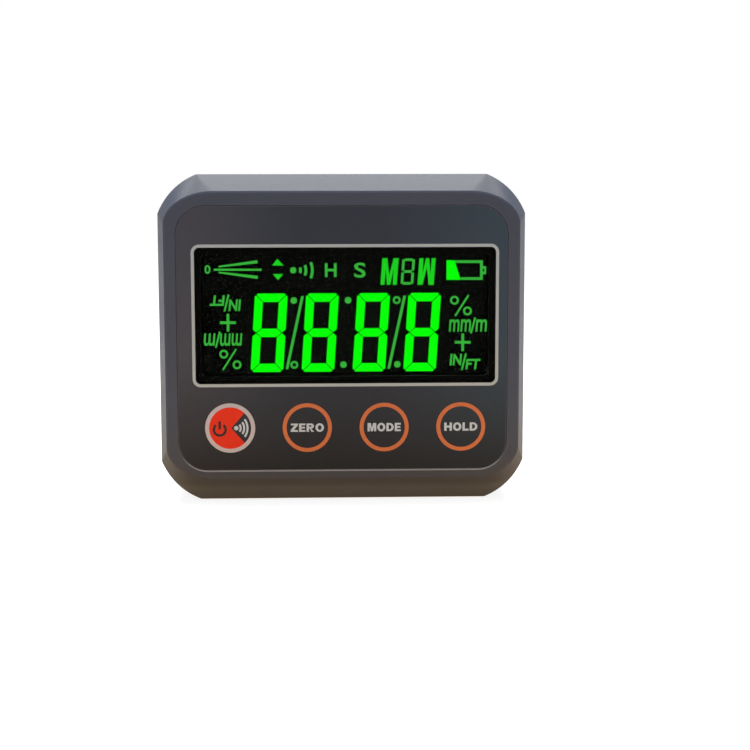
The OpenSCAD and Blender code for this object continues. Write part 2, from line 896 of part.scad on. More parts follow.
// AAA cell along X; side is -1 with the nub to the left and 1 with it to the right
module aaa_cell(side, z) {
    can_l = aaa_l - nub_l;
    shoulder = 0.5;
    color("#8a9aa8")
    translate([side * cell_shift, cell_y, z])
        rotate([0, side * 90, 0])
            translate([0, 0, -aaa_l / 2]) {
                cylinder(d = aaa_dia, h = can_l - shoulder);
                translate([0, 0, can_l - shoulder])
                    cylinder(d1 = aaa_dia, d2 = aaa_dia - 2 * shoulder, h = shoulder);
                translate([0, 0, can_l])
                    cylinder(r = nub_r, h = nub_l);
            }
}

// Points of one ring of spring wire, at turn t from 0 to 1 along the coil
function coil_r(t) = spring_base_r + (spring_tip_r - spring_base_r) * t;
function coil_point(t, around) =
    let (turn = 360 * spring_turns * t, r = coil_r(t) + spring_wire_r * cos(around))
    [r * cos(turn), r * sin(turn), t * (spring_l - 2 * spring_wire_r) + spring_wire_r * (1 + sin(around))];

// Cone-shaped coil spring along +Z from its base
module coil_spring() {
    sides = 8;
    rings = 72;
    points = [for (ring = [0:rings], side = [0:sides - 1]) coil_point(ring / rings, 360 * side / sides)];
    skin = [for (ring = [0:rings - 1], side = [0:sides - 1])
        let (next = (side + 1) % sides)
        [ring * sides + side, ring * sides + next, (ring + 1) * sides + next, (ring + 1) * sides + side]];
    low_end = [for (side = [0:sides - 1]) sides - 1 - side];
    high_end = [for (side = [0:sides - 1]) rings * sides + side];
    polyhedron(points, concat(skin, [low_end], [high_end]));
}

// Sheet plate on the end wall of the bay; side is -1 on the left
module contact_plate(side, low_z, high_z, front) {
    wall_x = side * bay_l / 2;
    inner_x = wall_x - side * contact_t;
    box([min(wall_x, inner_x), front, low_z], [max(wall_x, inner_x), cell_y + contact_w / 2, high_z]);
}

// Pressed button that touches a cell's nub
module contact_button(side, z) {
    translate([side * (bay_l / 2 - contact_t), cell_y, z])
        rotate([0, -side * 90, 0])
            cylinder(r1 = nub_r, r2 = nub_r - contact_touch, h = contact_touch);
}

// Coil that presses on a cell's flat end
module contact_spring(side, z) {
    translate([side * (bay_l / 2 - contact_t), cell_y, z])
        rotate([0, -side * 90, 0])
            coil_spring();
}

module contact_positive() {
    color("#cfcfd2") {
        contact_plate(-1, cell_top_z - contact_w / 2, cell_top_z + contact_w / 2, tab_end_y);
        contact_button(-1, cell_top_z);
    }
}

module contact_negative() {
    color("#cfcfd2") {
        contact_plate(-1, cell_bottom_z - contact_w / 2, cell_bottom_z + contact_w / 2, tab_end_y);
        contact_spring(-1, cell_bottom_z);
    }
}

module contact_bridge() {
    color("#cfcfd2") {
        contact_plate(1, cell_bottom_z - contact_w / 2, cell_top_z + contact_w / 2, cell_y - contact_w / 2);
        contact_button(1, cell_bottom_z);
        contact_spring(1, cell_top_z);
    }
}

// Short wire soldered to a contact's tab and to the board
module lead(z, tint) {
    end_y = bay_floor_y - bay_floor_t - film_gap;
    color(tint)
        bar(-bay_l / 2 + contact_t + lead_r, z, lead_r, lead_r, board_back_y, end_y);
}

// Screw along Y with its head at the back
module screw_along_y(r, head_r, head_h, seat_y, tip_y) {
    slot_w = head_r / 4;
    difference() {
        union() {
            bar(0, 0, r, r, tip_y, seat_y);
            bar(0, 0, head_r, head_r, seat_y, seat_y + head_h);
        }
        for (turn = [0, 90])
            rotate([0, turn, 0])
                box([-head_r * 2 / 3, seat_y + head_h / 2, -slot_w / 2],
                    [head_r * 2 / 3, seat_y + head_h + over, slot_w / 2]);
    }
}

module case_screws() {
    color("#55585c")
    at_case_screws()
        screw_along_y(screw_r, screw_head_r, screw_head_h,
            screw_seat_y, seam_y - screw_grip_l + screw_loose);
}

module board_screws() {
    color("#9a9da1")
    at_board_screws()
        screw_along_y(board_screw_r, board_screw_head_r, board_screw_head_h, board_back_y,
            board_y - board_screw_grip + screw_loose);
}

// Countersunk screws that hold the rail, sunk in the floor of the groove
module base_screws() {
    slot_w = rail_screw_head_r / 3;
    color("#8f9296")
    for (sx = [-1, 1])
        translate([sx * rail_screw_x, 0, groove_d])
            difference() {
                union() {
                    cylinder(r1 = rail_screw_head_r - screw_fit, r2 = rail_screw_r, h = rail_screw_head_h);
                    cylinder(r = rail_screw_r, h = rail_screw_l);
                }
                for (turn = [0, 90])
                    rotate(turn)
                        box([-rail_screw_head_r / 2, -slot_w / 2, -over],
                            [rail_screw_head_r / 2, slot_w / 2, rail_screw_head_h / 2]);
            }
}

front_cover();
rear_cover();
battery_door();
base_rail();
magnet(-1, -1);  // magnet_left_front
magnet(-1, 1);  // magnet_left_rear
magnet(1, -1);  // magnet_right_front
magnet(1, 1);  // magnet_right_rear
overlay_film();
display_lens();
key_zone(0, "#b8301c");  // power_key_zone
key_zone(1, "#2f333a");  // zero_key_zone
key_zone(2, "#2f333a");  // mode_key_zone
key_zone(3, "#2f333a");  // hold_key_zone
plunger(0);  // power_plunger
plunger(1);  // zero_plunger
plunger(2);  // mode_plunger
plunger(3);  // hold_plunger
tact_switch(0);  // power_switch
tact_switch(1);  // zero_switch
tact_switch(2);  // mode_switch
tact_switch(3);  // hold_switch
switch_stem(0);  // power_switch_stem
switch_stem(1);  // zero_switch_stem
switch_stem(2);  // mode_switch_stem
switch_stem(3);  // hold_switch_stem
lcd_cell();
lcd_digits();
lcd_marks();
lcd_backlight();
lcd_frame();
zebra_strip();
main_board();
tilt_sensor();
microcontroller();
crystal();
buzzer();
board_capacitors();
aaa_cell(-1, cell_top_z);  // aaa_cell_upper
aaa_cell(1, cell_bottom_z);  // aaa_cell_lower
contact_positive();
contact_negative();
contact_bridge();
lead(cell_top_z, "#b02a22");  // lead_positive
lead(cell_bottom_z, "#1c1c1e");  // lead_negative
case_screws();
board_screws();
base_screws();
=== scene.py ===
# %% [markdown]
# # Dressing a pocket angle gauge
# The gauge is a small closed box: two moulded covers, a printed film with four keys, a dark
# display and an aluminium base. The solid parts come from the CAD frame and stay where they are.
# This lesson gives them their finishes, prints the panel, lights the display and sets the camera.

# %% Load the CAD frame
import json
import math

import bpy
from mathutils import Matrix, Vector


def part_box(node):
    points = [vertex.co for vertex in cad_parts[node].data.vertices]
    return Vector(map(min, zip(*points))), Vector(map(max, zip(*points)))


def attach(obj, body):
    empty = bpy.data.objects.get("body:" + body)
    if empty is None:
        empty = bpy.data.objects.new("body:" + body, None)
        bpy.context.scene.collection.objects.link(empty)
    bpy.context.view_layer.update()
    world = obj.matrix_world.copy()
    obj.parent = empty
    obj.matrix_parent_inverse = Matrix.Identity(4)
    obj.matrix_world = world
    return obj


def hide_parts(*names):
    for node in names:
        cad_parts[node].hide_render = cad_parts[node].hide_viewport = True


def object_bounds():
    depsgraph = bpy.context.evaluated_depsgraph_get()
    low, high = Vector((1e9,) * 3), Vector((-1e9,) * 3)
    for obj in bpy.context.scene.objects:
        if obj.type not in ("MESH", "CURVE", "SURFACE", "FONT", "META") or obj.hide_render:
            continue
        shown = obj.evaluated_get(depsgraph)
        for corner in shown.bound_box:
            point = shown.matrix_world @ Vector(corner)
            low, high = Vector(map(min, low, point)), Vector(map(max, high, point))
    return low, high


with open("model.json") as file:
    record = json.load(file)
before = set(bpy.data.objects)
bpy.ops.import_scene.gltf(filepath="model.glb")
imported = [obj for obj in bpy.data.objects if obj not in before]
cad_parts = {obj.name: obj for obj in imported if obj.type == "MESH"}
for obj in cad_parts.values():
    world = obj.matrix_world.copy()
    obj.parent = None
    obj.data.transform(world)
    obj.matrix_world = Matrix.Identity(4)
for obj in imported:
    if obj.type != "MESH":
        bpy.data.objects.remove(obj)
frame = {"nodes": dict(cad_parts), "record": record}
cad_box = [list(corner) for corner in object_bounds()]
MM = 0.001
print("CAD box in mm:", [[round(v / MM, 2) for v in corner] for corner in cad_box])

# %% [markdown]
# ## Two small helpers
# Each camera, lamp and mesh needs an object, and that object only shows once it is linked to the
# scene. Arcs and rings need evenly spaced numbers. Both jobs come up again and again below.

# %% Helpers
def linked(name, data):
    """A new object in the scene."""
    made = bpy.data.objects.new(name, data)
    bpy.context.scene.collection.objects.link(made)
    return made


def spread(low, high, steps):
    """Evenly spaced numbers from low to high, both included."""
    return [low + (high - low) * i / steps for i in range(steps + 1)]


print("spread(0, 1, 4) gives", spread(0, 1, 4))

# %% [markdown]
# ## The camera
# The photograph looks almost straight at the display from 30 cm, and a little from above. The
# camera is placed on a sphere round the gauge's middle and first looks at that middle. The gauge
# stands left of and above the picture's middle, so the camera is then turned a little to the right
# and down, and rolled by a fifth of a degree. A shifted lens could frame it too, but the edges
# of the bevels only match when the camera itself is turned.

# %% Camera
PICTURE_PX = 750
MIDDLE = Vector((0, 0, 30 * MM))
DISTANCE = 300 * MM
LIFT = math.radians(5.5)
SIDE = math.radians(-0.8)
TURN_RIGHT = math.radians(1.22)
TURN_DOWN = math.radians(1.572)
ROLL = math.radians(-0.206)
FOCAL_PX = 1565.0
SENSOR_MM = 36

camera_data = bpy.data.cameras.new("camera")
camera = linked("camera", camera_data)
bpy.context.scene.camera = camera
stand = MIDDLE + DISTANCE * Vector(
    (math.sin(SIDE) * math.cos(LIFT), -math.cos(SIDE) * math.cos(LIFT), math.sin(LIFT)))
looks_at_middle = (MIDDLE - stand).to_track_quat("-Z", "Y").to_matrix().to_4x4()
turned_aside = (Matrix.Rotation(-TURN_RIGHT, 4, "Y") @ Matrix.Rotation(-TURN_DOWN, 4, "X")
                @ Matrix.Rotation(ROLL, 4, "Z"))
camera.matrix_world = Matrix.Translation(stand) @ looks_at_middle @ turned_aside
camera_data.sensor_width = SENSOR_MM
camera_data.lens = FOCAL_PX / PICTURE_PX * SENSOR_MM
camera_data.clip_start = 10 * MM
bpy.context.scene.view_settings.view_transform = "Standard"
print("lens", round(camera_data.lens, 2), "mm at", [round(v, 4) for v in camera.location])

# %% [markdown]
# ## Writing shaders as sums
# A material is a graph of nodes. Written out link by link it hides the idea, so one small class
# wraps a socket, and adding or multiplying two of them adds the Math node. `1 - mask` works too,
# because the reflected forms are there. Every other node comes from `Finish.node`.

# %% A socket that can be calculated with
class Wire:
    """An output socket of a finish; arithmetic on it adds Math nodes."""

    def __init__(self, finish, socket):
        self.finish = finish
        self.socket = socket

    def math(self, operation, *others, clamp=False):
        settings = {"operation": operation, "use_clamp": clamp}
        return self.finish.node("ShaderNodeMath", settings, dict(enumerate((self, *others))))

    def __add__(self, other):
        return self.math("ADD", other)

    def __sub__(self, other):
        return self.math("SUBTRACT", other)

    def __rsub__(self, other):
        return self.finish.value(other).math("SUBTRACT", self)

    def __mul__(self, other):
        return self.math("MULTIPLY", other)

    def above(self, edge, soft):
        """0 under edge and 1 from edge + soft on."""
        return ((self - edge) * (1 / soft)).math("ADD", 0.0, clamp=True)

    __radd__ = __add__
    __rmul__ = __mul__


class Finish:
    """One material, or the sky, and the nodes that make it."""

    def __init__(self, name, sky=False):
        self.sky = sky
        self.material = (bpy.data.worlds if sky else bpy.data.materials).new(name)
        self.material.use_nodes = True
        self.tree = self.material.node_tree
        self.tree.nodes.clear()

    def node(self, kind, settings=None, inputs=None, output=0):
        made = self.tree.nodes.new(kind)
        for key, value in (settings or {}).items():
            setattr(made, key, value)
        for key, value in (inputs or {}).items():
            self.plug(made.inputs[key], value)
        return Wire(self, made.outputs[output])

    def plug(self, socket, value):
        if isinstance(value, Wire):
            self.tree.links.new(value.socket, socket)
        elif isinstance(value, tuple) and len(value) == 3 and socket.type == "RGBA":
            socket.default_value = (*value, 1.0)
        else:
            socket.default_value = value

    def value(self, number):
        wire = self.node("ShaderNodeValue")
        wire.socket.default_value = number
        return wire

    def place(self):
        """Place on the piece itself, so the pattern moves with it."""
        return self.node("ShaderNodeTexCoord", output="Object")

    def along(self, axis):
        """Place along one axis of the gauge, in mm."""
        return self.node("ShaderNodeSeparateXYZ", inputs={"Vector": self.place()},
                         output=axis) * (1 / MM)

    def noise(self, scale, detail=2.0, stretch=None):
        where = self.place()
        if stretch:
            where = self.node("ShaderNodeMapping", inputs={"Vector": where, "Scale": stretch})
        return self.node("ShaderNodeTexNoise",
                         inputs={"Vector": where, "Scale": scale, "Detail": detail})

    def blend(self, factor, first, second):
        return self.node("ShaderNodeMix", {"data_type": "RGBA"},
                         {"Factor": factor, 6: first, 7: second}, output=2)

    def bump(self, height, depth, strength=1.0):
        return self.node("ShaderNodeBump",
                         inputs={"Strength": strength, "Distance": depth, "Height": height})

    def shade(self, **sockets):
        """The Principled shader, with each name's underscores read as spaces."""
        inputs = {name.replace("_", " "): value for name, value in sockets.items()}
        surface = self.node("ShaderNodeBsdfPrincipled", inputs=inputs)
        self.out(surface)
        return self.material

    def out(self, surface):
        kind = "ShaderNodeOutputWorld" if self.sky else "ShaderNodeOutputMaterial"
        self.plug(self.tree.nodes.new(kind).inputs["Surface"], surface)


print("shader words:", [name for name in vars(Finish) if not name.startswith("__")])

# %% [markdown]
# ## Moulded plastic
# The covers are injection moulded in grey ABS, in a mould that was spark eroded. That leaves a skin
# of fine grains under a tenth of a millimetre wide. A bump from two noises gives the grain. A
# coarser noise lets the gloss wander a little, where hands have polished the skin, and a stretched
# one adds the faint scuffs that a pocket tool gets. Low down the colour carries a painted warm,
# darker reflection of the bench, and the very foot is painted paler as painted bounce light.

# %% Plastic finishes
GRAIN_DEPTH = 0.0108 * MM
# Painted light: a warm, darker bench reflection low down and paler light at the very foot.
PAINTED_BENCH_REFLECTION = (0.032, 0.027, 0.020)
BENCH_REFLECTION_TOP, BENCH_REFLECTION_FADE = 3, 10
PAINTED_FOOT_LIGHT = (0.056, 0.060, 0.076)
FOOT_LIGHT_TOP, FOOT_LIGHT_FADE = 2.4, 1.2


def moulded(name, colour, rough, specular=0.5, tint=0.10, painted_foot_share=0.0):
    """Spark-eroded plastic skin; the last argument is the share of painted bench reflection and
    painted foot light.
    """
    mould = Finish(name)
    fine = mould.noise(9000, 3.0)
    coarse = mould.noise(3200, 2.0)
    drift = mould.noise(55, 3.0)
    handled = mould.noise(240, 4.0)
    scuffs = mould.noise(1.0, 3.0, (140, 140, 2600)).above(0.62, 0.08)
    lighter = tuple(min(1.0, channel * (1 + tint) + 0.002) for channel in colour)
    darker = tuple(channel * (1 - tint) for channel in colour)
    speckled = mould.blend(drift * 0.7 + fine * 0.3, darker, lighter)
    # Painted: the bench's warm reflection low down and paler bounce light at the foot, in patches.
    height = mould.along("Z")
    painted_foot_patches = (handled * 0.5 + 0.75) * painted_foot_share
    bench_reflection_mask = (1 - height.above(BENCH_REFLECTION_TOP, BENCH_REFLECTION_FADE)) * painted_foot_patches * 0.6
    foot_light_mask = (1 - height.above(FOOT_LIGHT_TOP, FOOT_LIGHT_FADE)) * painted_foot_patches
    return mould.shade(
        Base_Color=mould.blend(foot_light_mask, mould.blend(bench_reflection_mask, speckled, PAINTED_BENCH_REFLECTION), PAINTED_FOOT_LIGHT),
        Roughness=rough - 0.06 + handled * 0.12 + scuffs * 0.05,
        Specular_IOR_Level=specular,
        Normal=mould.bump(fine * 0.6 + coarse * 0.4, GRAIN_DEPTH, 0.8))


# The covers and the door carry the painted bench reflection and painted foot light.
CASE = moulded("case_plastic", (0.028, 0.036, 0.065), 0.40, specular=0.31, painted_foot_share=0.9)
DOOR = moulded("door_plastic", (0.026, 0.032, 0.054), 0.42, specular=0.31, painted_foot_share=0.9)
BLACK_PART = moulded("plunger_plastic", (0.022, 0.023, 0.026), 0.42)
WHITE_PART = moulded("white_plastic", (0.62, 0.60, 0.55), 0.40, tint=0.05)
SWITCH = moulded("switch_plastic", (0.018, 0.018, 0.020), 0.45)
DULL_BLACK = moulded("frame_plastic", (0.003, 0.003, 0.003), 0.55, specular=0.05)
print("plastic finishes:", CASE.name, DOOR.name, WHITE_PART.name)

# %% [markdown]
# ## Metals
# The base rail is an aluminium extrusion, brushed along its length, so its scratches are a noise
# that is stretched along X. The magnets are nickel plated and the screws are steel. Their gloss
# varies with small stains instead of lines.

# %% Metal finishes
def metal(name, colour, rough, stretch, depth):
    """Metal with lines or stains, by how the noise is stretched."""
    bar = Finish(name)
    lines = bar.noise(1.0, 4.0, stretch)
    stains = bar.noise(180, 3.0)
    dull = tuple(channel * 0.86 for channel in colour)
    return bar.shade(
        Base_Color=bar.blend(stains, dull, colour),
        Metallic=1.0,
        Roughness=rough - 0.08 + lines * 0.16,
        Normal=bar.bump(lines, depth * MM, 0.7))


RAIL = metal("rail_aluminium", (0.74, 0.75, 0.77), 0.34, (90, 9000, 9000), 0.010)
MAGNET = metal("magnet_nickel", (0.72, 0.70, 0.66), 0.22, (2500, 2500, 2500), 0.004)
TINNED = metal("tinned_metal", (0.66, 0.66, 0.65), 0.30, (1800, 1800, 1800), 0.006)
STEEL = metal("screw_steel", (0.55, 0.55, 0.56), 0.30, (4000, 4000, 4000), 0.006)
print("metal finishes:", RAIL.name, MAGNET.name, TINNED.name, STEEL.name)

# %% [markdown]
# ## Small parts inside
# Boards, chips, capacitors and leads are only seen when the gauge is opened. One recipe
# serves them all: a plain coat whose colour and gloss are slightly uneven, with or without a
# clear layer on top.

# %% Enamels, rubbers and resins
def coated(name, colour, rough, vary=0.1, coat=0.0):
    """A small part's plain coat with a little uneven colour and gloss."""
    part = Finish(name)
    cloud = part.noise(400, 3.0)
    dust = part.noise(2600, 2.0)
    low = tuple(channel * (1 - vary) for channel in colour)
    high = tuple(min(1.0, channel * (1 + vary)) for channel in colour)
    return part.shade(
        Base_Color=part.blend(cloud, low, high),
        Roughness=rough - 0.05 + dust * 0.1,
        Coat_Weight=coat,
        Normal=part.bump(dust, 0.006 * MM, 0.5))


BOARD = coated("board_laminate", (0.03, 0.17, 0.07), 0.30, coat=0.4)
CHIP = coated("chip_resin", (0.028, 0.028, 0.031), 0.55)
CERAMIC = coated("capacitor_ceramic", (0.48, 0.36, 0.20), 0.35)
RUBBER = coated("zebra_rubber", (0.42, 0.39, 0.35), 0.6)
RED_WIRE = coated("red_insulation", (0.45, 0.03, 0.02), 0.35)
BLACK_WIRE = coated("black_insulation", (0.02, 0.02, 0.02), 0.35)
BLACK_STEEL = coated("black_steel", (0.045, 0.045, 0.047), 0.32, coat=0.2)
GUIDE = coated("light_guide", (0.80, 0.86, 0.80), 0.25, vary=0.03)
print("coated finishes:", BOARD.name, CHIP.name, GUIDE.name)

# %% [markdown]
# ## The two cells
# An AAA cell is a steel can in a shrunk plastic sleeve. The sleeve stops short of both ends, so the
# bare steel shows there, and it has a darker band on the nub's side. The cells lie opposite ways,
# so each one gets its own finish, worked out from its box. The sleeves carry no print.

# %% Sleeve and bare ends
NUB = 1.0
BARE = 0.9
SLEEVE = (0.20, 0.28, 0.36)
SLEEVE_BAND = (0.030, 0.045, 0.080)
BAND_FROM = 0.45
SCUFFED = (0.5, 0.5, 0.5)
BARE_STEEL = (0.62, 0.62, 0.63)
SOFT = 0.05


def cell_skin(node_name, nub_side):
    """Sleeve between bare steel ends; nub_side is -1 for a nub on the left and 1 on the right."""
    low, high = (corner.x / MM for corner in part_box(node_name))
    half, middle = (high - low) / 2, (high + low) / 2
    skin = Finish(node_name + "_skin")
    cloud = skin.noise(400, 3.0)
    fine = skin.noise(2600, 2.0)
    along = (skin.along("X") - middle) * nub_side
    ends = along.above(half - NUB - BARE, SOFT) + (1 - along.above(BARE - half, SOFT))
    sleeve = skin.blend(along.above(half * BAND_FROM, SOFT), SLEEVE, SLEEVE_BAND)
    worn = skin.blend(cloud * 0.12, sleeve, SCUFFED)
    return skin.shade(
        Base_Color=skin.blend(ends, worn, BARE_STEEL),
        Metallic=ends,
        Roughness=0.24 + fine * 0.1,
        Coat_Weight=(1 - ends) * 0.5,
        Normal=skin.bump(fine, 0.006 * MM, 0.5))


CELLS = {"aaa_cell_upper": cell_skin("aaa_cell_upper", -1),
         "aaa_cell_lower": cell_skin("aaa_cell_lower", 1)}
print("cell finishes:", [skin.name for skin in CELLS.values()])

# %% [markdown]
# ## Film and inks
# The panel is a polyester film, printed on its back and lightly matted on its face. Its grey is
# painted uneven: a painted sheen makes it lighter and cooler towards the sides, and a painted
# reflection of the bench makes it darker and warmer near the bottom. Both are blends over the
# place on the panel, so they stay on the film from any side. The printed signs share the matt
# coat, and little but their colour differs.

# %% Film and ink finishes
# Painted sheen lighter at the sides, and a painted darker, warmer bench reflection low down.
PANEL_MIDDLE = (0.021, 0.028, 0.047)
PAINTED_SHEEN_LEFT = (0.046, 0.051, 0.077)
PAINTED_SHEEN_RIGHT = (0.028, 0.050, 0.082)
PAINTED_LOW_REFLECTION = (0.0085, 0.0070, 0.0060)
# The cut edge is painted: a pale highlight low down and darker shade higher up.
PAINTED_EDGE_HIGHLIGHT = (0.20, 0.205, 0.235)
PAINTED_EDGE_SHADE = (0.060, 0.072, 0.130)
MATT_DEPTH = 0.004 * MM


def panel_ink(name):
    film = Finish(name)
    matt = film.noise(7000, 2.0)
    cloud = film.noise(45, 2.0)
    # Painted light: sheen towards the sides, and the bench's darker, warm reflection near the
    # bottom.
    across = film.along("X")
    side_sheen_mask = across.math("ABSOLUTE").above(7, 25)
    painted_side_sheen = film.blend(across.above(-20, 40), PAINTED_SHEEN_LEFT, PAINTED_SHEEN_RIGHT)
    upper = film.blend(side_sheen_mask, PANEL_MIDDLE, painted_side_sheen)
    low = (1 - film.along("Z").above(7, 20)) * 0.8
    ink = film.blend(low, upper, PAINTED_LOW_REFLECTION)
    return film.shade(
        Base_Color=film.blend(cloud * 0.2 + matt * 0.04, ink, PANEL_MIDDLE),
        Roughness=0.43 + matt * 0.1,
        Specular_IOR_Level=0.12,
        Normal=film.bump(matt, MATT_DEPTH, 0.6))


def inked(name, colour, specular=0.15):
    """Matted film with an ink colour behind it."""
    film = Finish(name)
    matt = film.noise(7000, 2.0)
    cloud = film.noise(45, 2.0)
    thin = tuple(channel * 0.94 for channel in colour)
    full = tuple(channel * 1.06 for channel in colour)
    return film.shade(
        Base_Color=film.blend(cloud * 0.8 + matt * 0.2, thin, full),
        Roughness=0.43 + matt * 0.1,
        Specular_IOR_Level=specular,
        Normal=film.bump(matt, MATT_DEPTH, 0.6))


def cut_edge(name):
    """Edge of the film: a painted highlight low down, and painted shade like the rim higher up."""
    film = Finish(name)
    matt = film.noise(7000, 2.0)
    edge_shade_mask = film.along("Z").above(8, 8)
    return film.shade(
        Base_Color=film.blend(edge_shade_mask, PAINTED_EDGE_HIGHLIGHT, PAINTED_EDGE_SHADE),
        Roughness=0.33 + matt * 0.1,
        Normal=film.bump(matt, MATT_DEPTH, 0.6))


FILM = panel_ink("printed_film")
CUT_EDGE = cut_edge("film_cut_edge")
BORDER_INK = inked("border_ink", (0.265, 0.322, 0.402))
# A painted glint: a lighter hairline for the light on the film's cut edge.
PAINTED_EDGE_GLINT = inked("film_edge_painted_glint", (0.048, 0.058, 0.088))
ORANGE_INK = inked("orange_ink", (0.385, 0.118, 0.052))
PALE_INK = inked("pale_ink", (0.335, 0.412, 0.55))
RING_INK = inked("ring_ink", (0.33, 0.33, 0.43))
RED_INK = inked("red_ink", (0.49, 0.020, 0.007))
DARK_INK = inked("dark_ink", (0.016, 0.015, 0.017))
BLACK_INK = inked("black_ink", (0.0012, 0.0012, 0.0008), specular=0.02)
print("inks:", BORDER_INK.name, ORANGE_INK.name, RED_INK.name)

# %% [markdown]
# ## Glass, lens and lit marks
# The window lens is clear acrylic with a coat against glare, and the display behind it is a black
# negative cell: only the marks let the green backlight through. The lens is a real transmitting
# shader. Its index is set low, because such a coat mirrors next to nothing from in front. The marks
# give off light, so they look the same at any light level. The four digits are lit most, and the
# small signs round them are dimmer.

# %% Lens, cell and light finishes
def clear_lens(name):
    lens = Finish(name)
    haze = lens.noise(300, 3.0)
    return lens.shade(
        Base_Color=lens.blend(haze, (0.93, 0.95, 0.94), (0.98, 1.0, 0.99)),
        Roughness=0.015 + haze * 0.02,
        IOR=1.05,
        Transmission_Weight=1.0)


def black_glass(name):
    glass = Finish(name)
    smear = glass.noise(120, 3.0)
    return glass.shade(
        Base_Color=glass.blend(smear, (0.0006, 0.0008, 0.0005), (0.0012, 0.0015, 0.0008)),
        Roughness=0.10 + smear * 0.06,
        Specular_IOR_Level=0.02)


def lit(name, colour, edge, strength):
    """Backlit marks: the light is a little uneven, as from a small light guide."""
    mark = Finish(name)
    uneven = mark.noise(260, 2.0)
    return mark.shade(
        Base_Color=(0.0, 0.0, 0.0),
        Roughness=0.3,
        Specular_IOR_Level=0.02,
        Emission_Color=mark.blend(uneven, edge, colour),
        Emission_Strength=strength)


LENS = clear_lens("lens_acrylic")
GLASS = black_glass("display_glass")
BRIGHT = lit("lit_segments", (0.0, 1.0, 0.0), (0.001, 0.92, 0.001), 1.10)
HALF_LIT = lit("lit_letters", (0.012, 0.70, 0.014), (0.010, 0.58, 0.012), 1.0)
FAINT = lit("lit_marks", (0.044, 0.50, 0.050), (0.032, 0.40, 0.036), 1.0)
print("display finishes:", LENS.name, GLASS.name, BRIGHT.name, HALF_LIT.name, FAINT.name)

# %% [markdown]
# ## A finish for every part
# The frame's record names a slot for each CAD node, and each slot has one finish. Three nodes get
# one of their own instead: the two cells, and the frame round the display, which is dull black.

# %% Give each CAD node its finish
FINISH_OF_SLOT = {
    "case_plastic": CASE, "door_plastic": DOOR, "rail_aluminium": RAIL, "magnet_nickel": MAGNET,
    "printed_film": FILM, "power_print": FILM, "lens_acrylic": LENS, "display_glass": GLASS,
    "lit_segments": BRIGHT, "lit_marks": FAINT, "light_guide": GUIDE, "white_plastic": WHITE_PART,
    "plunger_plastic": BLACK_PART, "switch_plastic": SWITCH, "zebra_rubber": RUBBER,
    "board_laminate": BOARD, "chip_resin": CHIP, "tinned_metal": TINNED,
    "capacitor_ceramic": CERAMIC, "red_insulation": RED_WIRE, "black_insulation": BLACK_WIRE,
    "black_steel": BLACK_STEEL, "screw_steel": STEEL,
}
FINISH_OF_NODE = {**CELLS, "lcd_frame": DULL_BLACK}
slot_of_node = {row["node"]: row["material_slot"] for row in frame["record"]["subparts"]}
for node_name, solid in frame["nodes"].items():
    solid.data.materials.clear()
    finish = FINISH_OF_NODE.get(node_name) or FINISH_OF_SLOT[slot_of_node[node_name]]
    solid.data.materials.append(finish)
print("finished", len(frame["nodes"]), "CAD nodes")

# %% [markdown]
# ## Sizes from the frame
# The print has to sit where the CAD parts are, so its sizes come from their boxes: the film gives
# the panel, the lens gives the window, the key zones give the keys and the digits give the depth of
# the lit signs. All of them are in millimetres here.

# %% Panel, window and keys
def box_mm(node_name):
    """Lowest and highest corner of a CAD node, in mm."""
    low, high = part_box(node_name)
    return low / MM, high / MM


FILM_GAP = 0.1
INK = 0.02
film_low, film_high = box_mm("overlay_film")
FILM_Y = film_low.y
PANEL_W = film_high.x - film_low.x + 2 * FILM_GAP
PANEL_H = film_high.z - film_low.z + 2 * FILM_GAP
PANEL_Z = (film_high.z + film_low.z) / 2
PANEL_R = 5.5

lens_low, lens_high = box_mm("display_lens")
WINDOW_W = lens_high.x - lens_low.x
WINDOW_H = lens_high.z - lens_low.z
WINDOW = dict(x=(lens_high.x + lens_low.x) / 2, z=(lens_high.z + lens_low.z) / 2)
LENS_BACK_Y = lens_high.y

KEYS = ("power", "zero", "mode", "hold")
zone_boxes = {key: box_mm(key + "_key_zone") for key in KEYS}
KEY_X = {key: (low.x + high.x) / 2 for key, (low, high) in zone_boxes.items()}
KEY_Z = (zone_boxes["zero"][0].z + zone_boxes["zero"][1].z) / 2
KEY_R = (zone_boxes["zero"][1].x - zone_boxes["zero"][0].x) / 2
KEY_FACE_Y = zone_boxes["zero"][0].y
KEY_BACK_Y = zone_boxes["zero"][1].y
print("panel", round(PANEL_W, 2), "x", round(PANEL_H, 2), "window", round(WINDOW_W, 2), "x",
      round(WINDOW_H, 2), "keys at", [round(x, 2) for x in KEY_X.values()])

# %% [markdown]
# ## Flat pieces of print
# A screen print is a thin field of ink with a plain outline. A filled 2D curve makes one from its
# outline and its holes, and a little thickness makes it a solid. It is then stood up to face the
# viewer, at the depth of the face that carries it.

# %% Outlines of flat fields
def corner_turns(steps):
    """The angles of four round corners, anticlockwise, each with its corner's two signs."""
    for quarter, (sx, sz) in enumerate(((1, 1), (-1, 1), (-1, -1), (1, -1))):
        for step in range(steps + 1):
            yield sx, sz, math.radians(90 * (quarter + step / steps))


def rounded_loop(width, height, radius, x, z, steps=10):
    """Points of a rectangle with round corners, in mm, anticlockwise."""
    return [(x + sx * (width / 2 - radius) + radius * math.cos(turn),
             z + sz * (height / 2 - radius) + radius * math.sin(turn))
            for sx, sz, turn in corner_turns(steps)]


def arc(x, z, radius_x, radius_z, low, high, steps=20):
    """Points from angle low to high, in degrees, on a circle or an ellipse."""
    turns = [math.radians(degrees) for degrees in spread(low, high, steps)]
    return [(x + radius_x * math.cos(t), z + radius_z * math.sin(t)) for t in turns]


def circle_loop(radius, x, z, steps=64):
    return arc(x, z, radius, radius, 0, 360, steps)[:-1]


